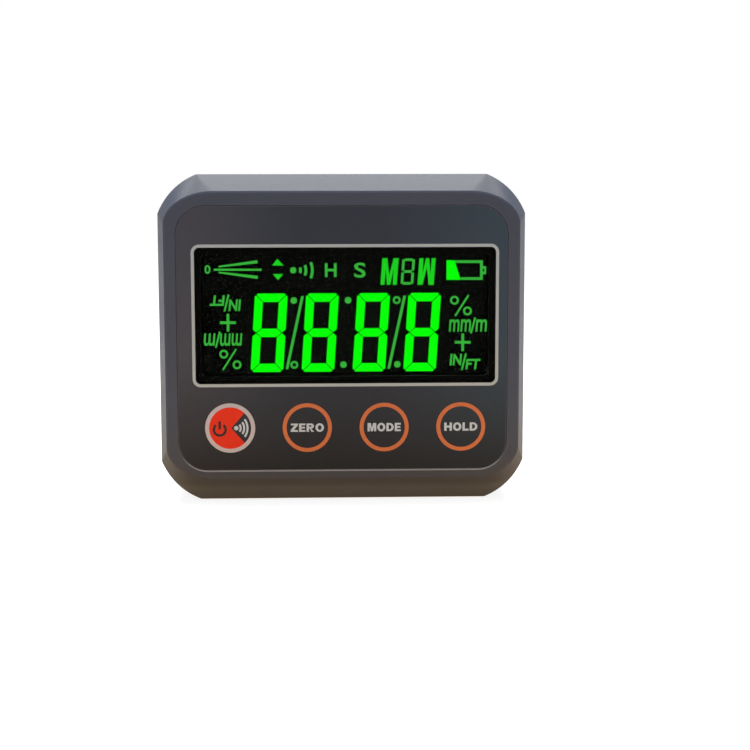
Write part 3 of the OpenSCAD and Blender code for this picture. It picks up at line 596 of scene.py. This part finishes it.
def arc_band(radius, pen, x, z, low, high, steps=20):
    """A bent stroke from angle low to high, in degrees."""
    outer, inner = radius + pen / 2, radius - pen / 2
    return arc(x, z, outer, outer, low, high, steps) + arc(x, z, inner, inner, high, low, steps)


print("a rounded loop has", len(rounded_loop(10, 10, 1, 0, 0)), "points")

# %% From outlines to thin solids
STAND_UP = Matrix.Rotation(math.radians(90), 4, "X")


def placed(name, mesh, finish, body):
    """Puts a mesh in the scene with its finish, riding on a body."""
    mesh.name = name
    mesh.materials.clear()
    mesh.materials.append(finish)
    piece = linked(name, mesh)
    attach(piece, body)
    return piece


def curve_mesh(curve):
    """The mesh of a filled curve or a word, and the curve is thrown away."""
    holder = linked("holder", curve)
    bpy.context.view_layer.update()
    mesh = bpy.data.meshes.new_from_object(
        holder.evaluated_get(bpy.context.evaluated_depsgraph_get()))
    bpy.data.objects.remove(holder)
    bpy.data.curves.remove(curve)
    return mesh


def field(name, loops, face_y, thick, finish, body="case"):
    """A flat field with holes: loops in mm, the even-odd rule makes the holes."""
    curve = bpy.data.curves.new(name, "CURVE")
    curve.dimensions = "2D"
    curve.fill_mode = "BOTH"
    curve.extrude = thick / 2 * MM
    for loop in loops:
        spline = curve.splines.new("POLY")
        spline.points.add(len(loop) - 1)
        for point, (x, z) in zip(spline.points, loop):
            point.co = (x * MM, z * MM, 0, 1)
        spline.use_cyclic_u = True
    mesh = curve_mesh(curve)
    mesh.transform(Matrix.Translation((0, (face_y + thick / 2) * MM, 0)) @ STAND_UP)
    return placed(name, mesh, finish, body)


print("a field of ink is", INK, "mm thick")

# %% [markdown]
# ## The printed film
# On the real gauge one film covers the panel, and the keys are embossed in it. The CAD film has
# round holes where the keys move, so a thin printed face closes the slits round them. The window's
# pale line is printed on this face. It stands a little up and to the right of the opening, as print
# does, and a black band fills the gap between the two. A lighter hairline near the film's cut edge
# is painted light: a glint of that edge, laid over the shade of its step.

# %% Film face, window line and edge line
WINDOW_R = 0.95
WINDOW_LINE, WINDOW_LINE_R = 0.56, 1.5
WIDER, HIGHER, LOWER = 0.12, 0.20, 0.08
EDGE_LINE, EDGE_LINE_IN = 0.12, 0.17
FACE_IN = 1.5 * FILM_GAP

window_loop = rounded_loop(WINDOW_W, WINDOW_H, WINDOW_R, **WINDOW)
key_holes = [circle_loop(KEY_R, x, KEY_Z) for x in KEY_X.values()]
film_loop = rounded_loop(PANEL_W - 2 * FACE_IN, PANEL_H - 2 * FACE_IN, PANEL_R, 0, PANEL_Z)
film_face = field("film_face", [film_loop, window_loop, *key_holes], FILM_Y - INK, INK, FILM)
line_w, line_h = WINDOW_W + WIDER, WINDOW_H + HIGHER + LOWER
line_place = dict(x=WINDOW["x"] + WIDER / 2, z=WINDOW["z"] + (HIGHER - LOWER) / 2)
line_loop = rounded_loop(line_w, line_h, WINDOW_R, **line_place)
outer_loop = rounded_loop(line_w + 2 * WINDOW_LINE, line_h + 2 * WINDOW_LINE, WINDOW_LINE_R,
                          **line_place)
field("window_line", [outer_loop, line_loop], FILM_Y - 2 * INK, INK, BORDER_INK)
field("window_band", [line_loop, window_loop], FILM_Y - 2 * INK, INK, BLACK_INK)
# The painted glint along the film's cut edge, laid over the shade of its step.
edge_loops = [rounded_loop(PANEL_W - 2 * inset, PANEL_H - 2 * inset, PANEL_R - inset, 0, PANEL_Z)
              for inset in (EDGE_LINE_IN, EDGE_LINE_IN + EDGE_LINE)]
field("film_edge_line", edge_loops, FILM_Y - 2 * INK, INK, PAINTED_EDGE_GLINT)
print("film face has", len(film_face.data.polygons), "faces")

# %% [markdown]
# ## The cut edge of the film
# The film bends up to the rim where it is pressed into its recess. Along the lower edge that slope
# looks up and catches the light as a thin bright line, and the edge's colour is painted pale there
# as a painted highlight; higher up it is painted dark as painted shade. It is narrower at the sides
# and the top. So the edge is a swept ring, and its width follows the direction in which the edge
# faces.

# %% Sloping edge round the film
LIP_LOW = 0.31
LIP_ELSEWHERE = 0.05
LIP_STEPS = 16
LIP_SHARP = 50


def lip_loop(share):
    """The recess outline, moved inwards by a share of the lip's width."""
    loop = []
    for sx, sz, turn in corner_turns(LIP_STEPS):
        downward = max(0.0, -math.sin(turn))
        width = LIP_ELSEWHERE + (LIP_LOW - LIP_ELSEWHERE) * downward ** 3
        reach = PANEL_R - share * width
        loop.append((sx * (PANEL_W / 2 - PANEL_R) + reach * math.cos(turn),
                     PANEL_Z + sz * (PANEL_H / 2 - PANEL_R) + reach * math.sin(turn)))
    return loop


def smooth_mesh(name, vertices, faces, sharp_degrees):
    """A mesh that is shaded smooth, except over edges sharper than an angle."""
    mesh = bpy.data.meshes.new(name)
    mesh.from_pydata(vertices, [], faces)
    mesh.shade_smooth()
    mesh.set_sharp_from_angle(angle=math.radians(sharp_degrees))
    return mesh


def swept_ring(name, profile, finish, body):
    """Joins loops of the lip: profile is (share of the width, depth y) pairs, closed on itself."""
    loops = [lip_loop(share) for share, _ in profile]
    count = len(loops[0])
    vertices = [(x * MM, y * MM, z * MM)
                for loop, (_, y) in zip(loops, profile) for x, z in loop]
    faces = []
    for row in range(len(profile)):
        below = (row + 1) % len(profile)
        for i in range(count):
            j = (i + 1) % count
            faces.append((row * count + i, row * count + j, below * count + j, below * count + i))
    return placed(name, smooth_mesh(name, vertices, faces, LIP_SHARP), finish, body)


RIM_Y = cad_box[0][1] / MM
drop = FILM_Y - RIM_Y
slope = [(0.0, RIM_Y + 0.01), (0.12, RIM_Y + 0.06 * drop), (0.30, RIM_Y + 0.25 * drop),
         (0.80, RIM_Y + 0.88 * drop), (1.0, FILM_Y - INK)]
recess_lip = swept_ring("recess_lip", slope + [(1.0, FILM_Y), (0.0, FILM_Y)],
                        CUT_EDGE, "case")
print("lip has", len(recess_lip.data.polygons), "faces and drops", round(drop, 2), "mm")

# %% [markdown]
# ## Keys
# Each key is a round zone of the film, pushed up a tenth of a millimetre by embossing, with its
# ring printed over the slope. A turned profile gives the zone, and the ring is a thin turned strip
# that follows the same profile, so ink and film bend together.

# %% Turned key zones and their rings
SLOPE_IN, SLOPE_OUT = 3.70, 4.66
FLAT_RADII = (0, 1.6, 3.2)
ORANGE_IN, ORANGE_OUT = 3.78, 4.51
TURN_STEPS = 96
KEY_SHARP = 40


def key_face(radius):
    """Depth of the key's face at a radius, in mm: flat, then a soft slope to the film."""
    share = min(1.0, max(0.0, (radius - SLOPE_IN) / (SLOPE_OUT - SLOPE_IN)))
    return KEY_FACE_Y + (FILM_Y - INK - KEY_FACE_Y) * share * share * (3 - 2 * share)


def turned(name, profile, x, finish, body):
    """Turns a closed (radius, y) profile about the key's axis; a radius of 0 closes the disc."""
    vertices, rows, faces = [], [], []
    for radius, y in profile:
        ring = [0] if radius == 0 else range(TURN_STEPS)
        rows.append([len(vertices) + i for i in ring])
        for i in ring:
            turn = 2 * math.pi * i / TURN_STEPS
            vertices.append(((x + radius * math.cos(turn)) * MM, y * MM,
                             (KEY_Z + radius * math.sin(turn)) * MM))
    closed = profile[0][0] != 0
    for k in range(len(rows) if closed else len(rows) - 1):
        first, second = rows[k], rows[(k + 1) % len(rows)]
        for i in range(TURN_STEPS):
            j = (i + 1) % TURN_STEPS
            corners = [first[i % len(first)], first[j % len(first)],
                       second[j % len(second)], second[i % len(second)]]
            faces.append(tuple(dict.fromkeys(corners)))
    mesh = smooth_mesh(name, vertices, faces, KEY_SHARP)
    return placed(name, mesh, finish, body)


def ring_strip(name, inner, outer, x, finish, body):
    """Ink over the key's slope, and as proud of it as the other print."""
    radii = spread(inner, outer, 8)
    front = [(r, key_face(r) - INK) for r in radii]
    back = [(r, key_face(r) - INK / 4) for r in reversed(radii)]
    return turned(name, front + back, x, finish, body)


slope_radii = spread(SLOPE_IN, SLOPE_OUT, 7)
zone_profile = [(r, key_face(r)) for r in [*FLAT_RADII, *slope_radii, KEY_R]]
zone_profile += [(KEY_R, KEY_BACK_Y), (0, KEY_BACK_Y)]
for key, x in KEY_X.items():
    body = key + "_key"
    zone = turned(key + "_zone", zone_profile, x, FILM, body)
    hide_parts(key + "_key_zone")
    if key != "power":
        ring_strip(key + "_ring", ORANGE_IN, ORANGE_OUT, x, ORANGE_INK, body)
print("turned", len(KEY_X), "key zones at y =", round(KEY_FACE_Y, 2), "mm")

# %% [markdown]
# ## Words on the keys
# The words are plain function names in a heavy face with short gaps. Blender's own font is too thin
# for them, and thickening it spoils the corners. So the eight letters that are needed are drawn
# as outlines on a unit height, with arcs for the round ones, and each word is fitted to its box.

# %% Heavy letters
STEM = 0.27
BAR = 0.21


def letter_z(w):
    return [[(0.03, 1), (w, 1), (w, 1 - BAR), (0.37, BAR), (w, BAR), (w, 0),
             (0, 0), (0, BAR), (w - 0.37, 1 - BAR), (0.03, 1 - BAR)]]


def letter_e(w):
    return [[(0, 0), (0, 1), (w, 1), (w, 1 - BAR), (STEM, 1 - BAR), (STEM, 0.61), (w - 0.05, 0.61),
             (w - 0.05, 0.40), (STEM, 0.40), (STEM, BAR), (w, BAR), (w, 0)]]


def letter_r(w):
    bowl = arc(0.50, 0.69, w - 0.54, 0.31, 90, -90, 12)
    eye = arc(0.46, 0.69, 0.10, 0.10, -90, 90, 8)
    return [[(0, 0), (0, 1), *bowl, (w, 0), (w - 0.33, 0), (0.38, 0.37), (STEM, 0.37), (STEM, 0)],
            [(STEM, 0.59), *eye, (STEM, 0.79)]]


def letter_o(w):
    return [arc(w / 2, 0.5, w / 2, 0.52, 0, 360, 36)[:-1],
            arc(w / 2, 0.5, w / 2 - STEM, 0.28, 0, 360, 28)[:-1]]


def letter_m(w):
    return [[(0, 0), (0, 1), (0.38, 1), (w / 2, 0.42), (w - 0.38, 1), (w, 1), (w, 0), (w - 0.26, 0),
             (w - 0.26, 0.64), (w / 2 + 0.12, 0), (w / 2 - 0.12, 0), (0.26, 0.64), (0.26, 0)]]


def letter_d(w):
    back = arc(0.36, 0.5, w - 0.36, 0.5, 90, -90, 20)
    eye = arc(0.36, 0.5, w - 0.36 - STEM, 0.28, -90, 90, 14)
    return [[(0, 0), (0, 1), *back], [(STEM, 0.22), *eye, (STEM, 0.78)]]


def letter_h(w):
    return [[(0, 0), (0, 1), (STEM, 1), (STEM, 0.63), (w - STEM, 0.63), (w - STEM, 1), (w, 1),
             (w, 0), (w - STEM, 0), (w - STEM, 0.39), (STEM, 0.39), (STEM, 0)]]


def letter_l(w):
    return [[(0, 0), (0, 1), (STEM, 1), (STEM, 0.24), (w, 0.24), (w, 0)]]


LETTERS = {"Z": (letter_z, 0.82), "E": (letter_e, 0.72), "R": (letter_r, 0.88),
           "O": (letter_o, 0.96), "M": (letter_m, 1.04), "D": (letter_d, 0.88),
           "H": (letter_h, 0.88), "L": (letter_l, 0.70)}
print("letters drawn:", "".join(LETTERS))

# %% Words
CAP_H = 1.53
WORD_W = 6.10
LETTER_GAP = 0.13


def key_word(key):
    """The key's name across its middle, as one field of ink."""
    letters = [LETTERS[letter] for letter in key.upper()]
    total = sum(w for _, w in letters) + LETTER_GAP * (len(letters) - 1)
    loops, at = [], 0.0
    for draw, w in letters:
        for loop in draw(w):
            loops.append([(KEY_X[key] + ((x + at) / total - 0.5) * WORD_W,
                           KEY_Z + (z - 0.5) * CAP_H) for x, z in loop])
        at += w + LETTER_GAP
    return field(key + "_word", loops, KEY_FACE_Y - INK, INK, PALE_INK, key + "_key")


words = [key_word(key) for key in KEYS if key != "power"]
print("words:", [piece.name for piece in words])

# %% [markdown]
# ## The power key
# This key is red with a pale ring. A dark wedge opens to the right and holds a small sound sign,
# and a round on-off sign stands on the left. They are all flat fields on the flat part of the key.

# %% Power key print
PALE_RING_IN, PALE_RING_OUT = 3.82, 4.57
RED_R = 3.84
WEDGE = 44.5
WEDGE_X = 0.21
DOT_X, DOT_R = 1.12, 0.41
WAVES = ((1.92, 1.04, 38), (2.56, 1.83, 36), (3.17, 2.76, 36))
WAVE_PEN = 0.36
SIGN_X, SIGN_Z, SIGN_R, SIGN_PEN = -1.90, -0.27, 1.08, 0.44
SIGN_FROM, SIGN_TO = 130, 410
SIGN_BAR_H, SIGN_BAR_R, SIGN_BAR_UP = 1.5, 0.1, 0.81


def power_field(name, loops, lift, finish):
    return field("power_" + name, loops, KEY_FACE_Y - lift * INK, INK, finish, "power_key")


power_x = KEY_X["power"]
ring_strip("power_ring", PALE_RING_IN, PALE_RING_OUT, power_x, RING_INK, "power_key")
wedge_start = math.degrees(math.asin(WEDGE_X * math.sin(math.radians(WEDGE)) / RED_R)) + WEDGE
power_field("red", [[(power_x + WEDGE_X, KEY_Z)] + arc(
    power_x, KEY_Z, RED_R, RED_R, wedge_start, 360 - wedge_start, 60)], 1, RED_INK)
power_field("dot", [circle_loop(DOT_R, power_x + DOT_X, KEY_Z, 32)], 1, PALE_INK)
for i, (reach, radius, half) in enumerate(WAVES):
    power_field(f"wave_{i}", [arc_band(radius, WAVE_PEN, power_x + reach - radius, KEY_Z,
                                       -half, half)], 1, PALE_INK)
sign_x, sign_z = power_x + SIGN_X, KEY_Z + SIGN_Z
power_field("sign_arc", [arc_band(SIGN_R, SIGN_PEN, sign_x, sign_z, SIGN_FROM, SIGN_TO)], 2,
            DARK_INK)
power_field("sign_bar", [rounded_loop(SIGN_PEN, SIGN_BAR_H, SIGN_BAR_R, sign_x,
                                      sign_z + SIGN_BAR_UP, 4)], 3, DARK_INK)
print("power key wedge starts at", round(wedge_start, 1), "degrees")

# %% [markdown]
# ## Small signs of the display
# Round the four digits stand small signs: units, a scale, a sound sign and a battery. They are
# etched in the same cell as the digits, so they are thin fields on the glass at the digits' depth.
# Their places were measured in the photograph, and two scales turn picture points into millimetres
# on the glass. The words on the glass use Blender's own font, fitted to the box that they fill.

# %% From picture points to the glass
digits_low, digits_high = box_mm("lcd_digits")
MARK_Y = digits_low.y
MARK = digits_high.y - digits_low.y
GLASS_X = 0.62
GLASS_Z = (digits_low.z + digits_high.z) / 2
GLASS_MIDDLE_PX = (345.6, 332.3)
GLASS_SCALE_PX = (5.434, 5.41)
GLASS_LEAN_PX = 0.0049
FIRST_DIGIT_PX = (269.6, 332.3)


def on_glass(px_x, px_y):
    """Place on the glass, in mm, of a point that was measured in picture points."""
    across = px_x - GLASS_MIDDLE_PX[0]
    down = px_y - GLASS_MIDDLE_PX[1] + GLASS_LEAN_PX * across
    return GLASS_X + across / GLASS_SCALE_PX[0], GLASS_Z - down / GLASS_SCALE_PX[1]


def mark(name, loops, finish=None):
    """A lit field on the glass, from loops in picture points."""
    placed_loops = [[on_glass(*point) for point in loop] for loop in loops]
    return field("lcd_" + name, placed_loops, MARK_Y, MARK, finish or FAINT, "case")


def stroke(start_point, end_point, start_width, end_width=None):
    """A straight stroke as a four-sided loop."""
    (x0, y0), (x1, y1) = start_point, end_point
    end_width = end_width or start_width
    length = math.hypot(x1 - x0, y1 - y0)
    nx, ny = (y0 - y1) / length, (x1 - x0) / length
    return [(x0 + nx * start_width / 2, y0 + ny * start_width / 2),
            (x1 + nx * end_width / 2, y1 + ny * end_width / 2),
            (x1 - nx * end_width / 2, y1 - ny * end_width / 2),
            (x0 - nx * start_width / 2, y0 - ny * start_width / 2)]


def lcd_word(name, letters, box_px, heft, lean=0.0, upside_down=False):
    """Letters on the glass, fitted to a box of left, right, top and bottom in picture points."""
    curve = bpy.data.curves.new(name, "FONT")
    curve.body = letters
    curve.offset = heft
    curve.shear = lean
    curve.resolution_u = 4
    curve.extrude = 0.5
    mesh = curve_mesh(curve)
    left, right, top, bottom = box_px
    (x0, z1), (x1, z0) = on_glass(left, top), on_glass(right, bottom)
    xs = [v.co.x for v in mesh.vertices]
    ys = [v.co.y for v in mesh.vertices]
    turn = -1 if upside_down else 1
    for v in mesh.vertices:
        across = (v.co.x - min(xs)) / (max(xs) - min(xs)) - 0.5
        up = (v.co.y - min(ys)) / (max(ys) - min(ys)) - 0.5
        v.co = (((x0 + x1) / 2 + turn * across * (x1 - x0)) * MM,
                (MARK_Y + MARK * (0.5 - v.co.z)) * MM,
                ((z0 + z1) / 2 + turn * up * (z1 - z0)) * MM)
    return placed("lcd_" + name, mesh, FAINT, "case")


print("the first digit stands at", [round(v, 2) for v in on_glass(*FIRST_DIGIT_PX)])

# %% Scale, sound sign and letters of the top row
RAYS_PX = {
    "ray_middle": ((214.9, 269.95), (262.2, 269.95), 2.0, 2.0),
    "ray_upper": ((219.7, 267.0), (258.2, 262.0), 1.5, 3.0),
    "ray_lower": ((219.7, 272.6), (258.2, 277.5), 1.5, 3.0),
}
ARROWS_PX = {
    "arrow_up": [(277.9, 259.2), (284.0, 265.7), (272.7, 265.7)],
    "arrow_down": [(278.4, 280.1), (283.5, 274.2), (273.4, 274.2)],
}
SOUND_ROW_PX = 270.4
SOUND_DOT_PX, SOUND_DOT_R_PX = (293.6, SOUND_ROW_PX), 3.1
SOUND_WAVES_PX = ((300.8, 2.6), (306.2, 5.0), (312.6, 7.8))
SOUND_PEN_PX, WAVE_BEND = 2.7, 2.4
LETTERS_PX = {
    "nought": ("0", (205.7, 211.5, 265.4, 274.0), 0.02),
    "letter_h": ("H", (325.1, 336.7, 263.5, 276.9), 0.02),
    "letter_s": ("S", (354.2, 365.6, 262.8, 277.6), 0.015),
}

for name, (start_px, end_px, thin, thick) in RAYS_PX.items():
    mark(name, [stroke(start_px, end_px, thin, thick)])
for name, loop in ARROWS_PX.items():
    mark(name, [loop], HALF_LIT)
mark("sound_dot", [circle_loop(SOUND_DOT_R_PX, *SOUND_DOT_PX, 24)])
for i, (x, half) in enumerate(SOUND_WAVES_PX):
    radius = half * WAVE_BEND
    reach = math.degrees(math.asin(half / radius))
    mark(f"sound_wave_{i}", [arc_band(radius, SOUND_PEN_PX, x - radius, SOUND_ROW_PX,
                                      -reach, reach, 10)])
for name, (letters, box_px, heft) in LETTERS_PX.items():
    lcd_word(name, letters, box_px, heft)
print("top row:", [*RAYS_PX, *ARROWS_PX, *LETTERS_PX], "and a sound sign")

# %% Letters M and W
M_PX = dict(left=380.4, right=398.6, top=258.3, bottom=284.6)
W_PX = dict(left=417.4, right=435.6, top=258.3, bottom=284.6)
LEAN_PX, TALL_PEN_PX = 2.0, 5.0
NOTCH, THIGH = 0.66, 0.63


def tall_letter(name, box, upside_down):
    """An M of one outline, leant a little; turned half round it is a W."""
    width, height = box["right"] - box["left"] - LEAN_PX, box["bottom"] - box["top"]
    pen = TALL_PEN_PX / width
    leg = pen * 0.8
    shape = [(0, 0), (0, 1), (pen, 1), (0.5, 1 - NOTCH), (1 - pen, 1), (1, 1), (1, 0),
             (1 - leg, 0), (1 - leg, THIGH), (0.5 + pen / 3, 0),
             (0.5 - pen / 3, 0), (leg, THIGH), (leg, 0)]
    if upside_down:
        shape = [(1 - x, 1 - y) for x, y in shape]
    return mark(name, [[(box["left"] + x * width + y * LEAN_PX, box["bottom"] - y * height)
                        for x, y in shape]], HALF_LIT)


tall_letters = [tall_letter("letter_m", M_PX, False), tall_letter("letter_w", W_PX, True)]
print("tall letters:", [piece.name for piece in tall_letters])

# %% Small figure and battery sign
FIGURE_PX = dict(left=400.5, right=413.1, top=258.5, bottom=284.5)
FIGURE_PEN_PX, FIGURE_SLANT, FIGURE_GAP_PX = 2.5, 0.07, 0.55
BATTERY_CASE_PX = [
    [(454.6, 260.3), (482.7, 260.3), (482.7, 266.2), (486.0, 266.2), (486.0, 274.0),
     (482.7, 274.0), (482.7, 279.7), (461.0, 279.7), (460.3, 277.1), (480.0, 277.1),
     (480.0, 262.9), (455.5, 262.9)],
    [(482.6, 268.6), (482.6, 271.6), (484.2, 271.6), (484.2, 268.6)]]
BATTERY_CHARGE_PX = [(446.4, 260.3), (454.3, 260.3), (460.6, 279.7), (446.4, 279.7)]


def small_figure(left, right, top, bottom, pen, slant, gap):
    """Seven strokes of a narrow figure, each cut short of its neighbours."""
    middle, half = (top + bottom) / 2, pen / 2
    start, end = left + pen * 0.75 + gap, right - pen * 0.75 - gap

    def leant(loop):
        return [(x + (bottom - y) * slant, y) for x, y in loop]

    loops = []
    for y in (top + half, middle, bottom - half):
        loops.append(leant(stroke((start, y), (end, y), pen)))
    for x in (left + half, right - half):
        for high, low in ((top + pen * 0.4, middle - gap - half * 0.4),
                          (middle + gap + half * 0.4, bottom - pen * 0.4)):
            loops.append(leant(stroke((x, high), (x, low), pen)))
    return loops


figure = small_figure(**FIGURE_PX, pen=FIGURE_PEN_PX, slant=FIGURE_SLANT, gap=FIGURE_GAP_PX)
for i, loop in enumerate(figure):
    mark(f"small_figure_{i}", [loop])
mark("battery_case", BATTERY_CASE_PX)
mark("battery_charge", [BATTERY_CHARGE_PX], BRIGHT)
print("a small figure of", len(figure), "strokes, and a battery")

# %% Units beside the digits
PERCENT_RINGS_PX = ((454.5, 300.0), (467.6, 310.7))
RING_OUT_PX, RING_IN_PX = 4.4, 2.5
PERCENT_SLASH_PX = ((468.6, 294.9), (455.2, 315.8), 1.7)
PLUS_MIDDLE_PX = (463.0, 342.1)
PLUS_REACH_PX, PLUS_PEN_PX = (7.9, 8.8), 2.6
UNIT_SLASHES_PX = (((466.3, 353.4), (462.1, 370.0), 1.8), ((475.4, 317.3), (471.2, 333.2), 1.8))
UNIT_WORDS_PX = {
    "millimetres": ("mm", (449.0, 471.2, 319.0, 331.3), 0.012, 0.12),
    "metre": ("m", (475.7, 487.3, 319.0, 331.3), 0.012, 0.12),
    "inches": ("IN", (449.8, 462.4, 353.8, 365.2), 0.028, 0.12),
    "feet": ("FT", (465.8, 481.0, 358.9, 369.2), 0.028, 0.12),
}


def half_round(point):
    """The left group is the right one turned half round about the middle of the digits."""
    return 2 * GLASS_MIDDLE_PX[0] - point[0], 2 * GLASS_MIDDLE_PX[1] - point[1]


def plus_loop(middle, reach, pen):
    """Outline of a plus sign."""
    (x, y), (rx, ry), half = middle, reach, pen / 2
    return [(x - half, y - ry), (x + half, y - ry), (x + half, y - half), (x + rx, y - half),
            (x + rx, y + half), (x + half, y + half), (x + half, y + ry), (x - half, y + ry),
            (x - half, y + half), (x - rx, y + half), (x - rx, y - half), (x - half, y - half)]


def unit_group(side, upside_down):
    """The percent sign, the plus and the units on one side of the digits."""

    def spun(loop):
        return [half_round(point) for point in loop] if upside_down else loop

    for i, (x, y) in enumerate(PERCENT_RINGS_PX):
        mark(f"percent_ring_{side}_{i}", [spun(circle_loop(radius, x, y, 28))
                                          for radius in (RING_OUT_PX, RING_IN_PX)])
    mark(f"percent_slash_{side}", [spun(stroke(*PERCENT_SLASH_PX))])
    mark(f"plus_{side}", [spun(plus_loop(PLUS_MIDDLE_PX, PLUS_REACH_PX, PLUS_PEN_PX))])
    for i, slash in enumerate(UNIT_SLASHES_PX):
        mark(f"unit_slash_{side}_{i}", [spun(stroke(*slash))])
    for name, (letters, (left, right, top, bottom), heft, lean) in UNIT_WORDS_PX.items():
        (xa, ya), (xb, yb) = spun([(left, top), (right, bottom)])
        box_px = (min(xa, xb), max(xa, xb), min(ya, yb), max(ya, yb))
        lcd_word(f"{name}_{side}", letters, box_px, heft, lean, upside_down)


unit_group("right", False)
unit_group("left", True)
print("units on both sides:", list(UNIT_WORDS_PX))

# %% [markdown]
# ## The mask behind the lens
# A black frame is printed on the back of the lens, so the ledge that carries it can't be seen. It
# lies just inside the lens, at its rear face.

# %% Mask print
MASK_W = 1.1
MASK_OUTER_R, MASK_INNER_R = 0.9, 0.8
mask = field("lens_mask", [
    rounded_loop(WINDOW_W - FILM_GAP, WINDOW_H - FILM_GAP, MASK_OUTER_R, **WINDOW),
    rounded_loop(WINDOW_W - 2 * MASK_W, WINDOW_H - 2 * MASK_W, MASK_INNER_R, **WINDOW)],
    LENS_BACK_Y - 2 * INK, INK, GLASS, "case")
print("mask has", len(mask.data.polygons), "faces")

# %% [markdown]
# ## Floor, sky and lamp
# The picture has a plain white ground. The floor is a real surface that takes a soft shadow, and
# the camera sees it as white. As a light it is a bench top, bright and warm round the gauge and
# grey further off, so its bounce warms the lower bevel and rim. Gloss and glass see that same warm
# ground close by and white further off. The sky is white too, and dimmer as a light than as a
# background. One long soft lamp overhead brightens the upper bevel and its corners. It hangs behind
# the plane of the panel, so it doesn't graze the panel and throw the shadow of its rim.

# %% Floor
FLOOR_HALF = 3000 * MM
FLOOR_DROP = 0.02 * MM
BENCH_GLOW, WHITE_GLOW = 0.66, 0.86
NEAR_MM, FADE_MM = 80, 160
LAMPLIT, FAR_BENCH = (0.84, 0.56, 0.28), (0.44, 0.45, 0.47)
WARM_GROUND = (0.86, 0.57, 0.28)
SHADOW_GREY = (0.26, 0.26, 0.26)
WHITE, BLACK = (1.0, 1.0, 1.0), (0.0, 0.0, 0.0)
floor_paint = Finish("floor_paint")


def camera_ray(finish):
    """1 for rays straight from the camera."""
    return finish.node("ShaderNodeLightPath", output="Is Camera Ray")


def ray_seen(finish):
    """1 for rays from the camera, in a gloss or through the lens."""
    gloss_ray, lens_ray = (finish.node("ShaderNodeLightPath", output=kind)
                           for kind in ("Is Glossy Ray", "Is Transmission Ray"))
    return camera_ray(finish).math("MAXIMUM", gloss_ray).math("MAXIMUM", lens_ray)


away = floor_paint.along("X").math("ABSOLUTE") + floor_paint.along("Y").math("ABSOLUTE")
far = away.above(NEAR_MM, FADE_MM)
bench = floor_paint.blend(far, LAMPLIT, FAR_BENCH)
ground = floor_paint.blend(far.math("MAXIMUM", camera_ray(floor_paint)), WARM_GROUND, WHITE)
lamplit = floor_paint.node("ShaderNodeEmission",
                           inputs={"Color": floor_paint.blend(far, LAMPLIT, BLACK),
                                   "Strength": BENCH_GLOW})
bounce = floor_paint.node("ShaderNodeAddShader", inputs={
    0: floor_paint.node("ShaderNodeBsdfDiffuse", inputs={"Color": bench}), 1: lamplit})
shaded = floor_paint.node("ShaderNodeBsdfDiffuse", inputs={"Color": SHADOW_GREY})
glow = floor_paint.node("ShaderNodeEmission", inputs={"Color": ground, "Strength": WHITE_GLOW})
white = floor_paint.node("ShaderNodeAddShader", inputs={0: shaded, 1: glow})
floor_paint.out(floor_paint.node("ShaderNodeMixShader",
                                 inputs={0: ray_seen(floor_paint), 1: bounce, 2: white}))
floor_mesh = bpy.data.meshes.new("floor")
floor_mesh.from_pydata([(x * FLOOR_HALF, y * FLOOR_HALF, -FLOOR_DROP) for x, y in
                        ((-1, -1), (1, -1), (1, 1), (-1, 1))], [], [(0, 1, 2, 3)])
floor_mesh.materials.append(floor_paint.material)
floor = linked("floor", floor_mesh)
print("floor paint has", len(floor_paint.tree.nodes), "nodes")

# %% Sky
SKY_LEVEL = 0.61
sky = Finish("sky", sky=True)
as_light, as_seen = (
    sky.node("ShaderNodeBackground", inputs={"Color": WHITE, "Strength": level})
    for level in (SKY_LEVEL, 1.0))
sky.out(sky.node("ShaderNodeMixShader", inputs={0: ray_seen(sky), 1: as_light, 2: as_seen}))
bpy.context.scene.world = sky.material
print("sky light level", SKY_LEVEL)

# %% Lamp
LAMP_PLACE = Vector((0.0, 0.12, 0.45))
LAMP_SIZE = (0.53, 0.26)
LAMP_WATTS = 8.0
LAMP_COLOUR = (1.0, 0.98, 0.90)
lamp_data = bpy.data.lights.new("overhead", "AREA")
lamp_data.shape = "RECTANGLE"
lamp_data.size, lamp_data.size_y = LAMP_SIZE
lamp_data.energy = LAMP_WATTS
lamp_data.color = LAMP_COLOUR
lamp = linked("overhead", lamp_data)
lamp.location = LAMP_PLACE
lamp.rotation_euler = (MIDDLE - LAMP_PLACE).to_track_quat("-Z", "Y").to_euler()
print("lamp:", lamp.name, LAMP_WATTS, "W")
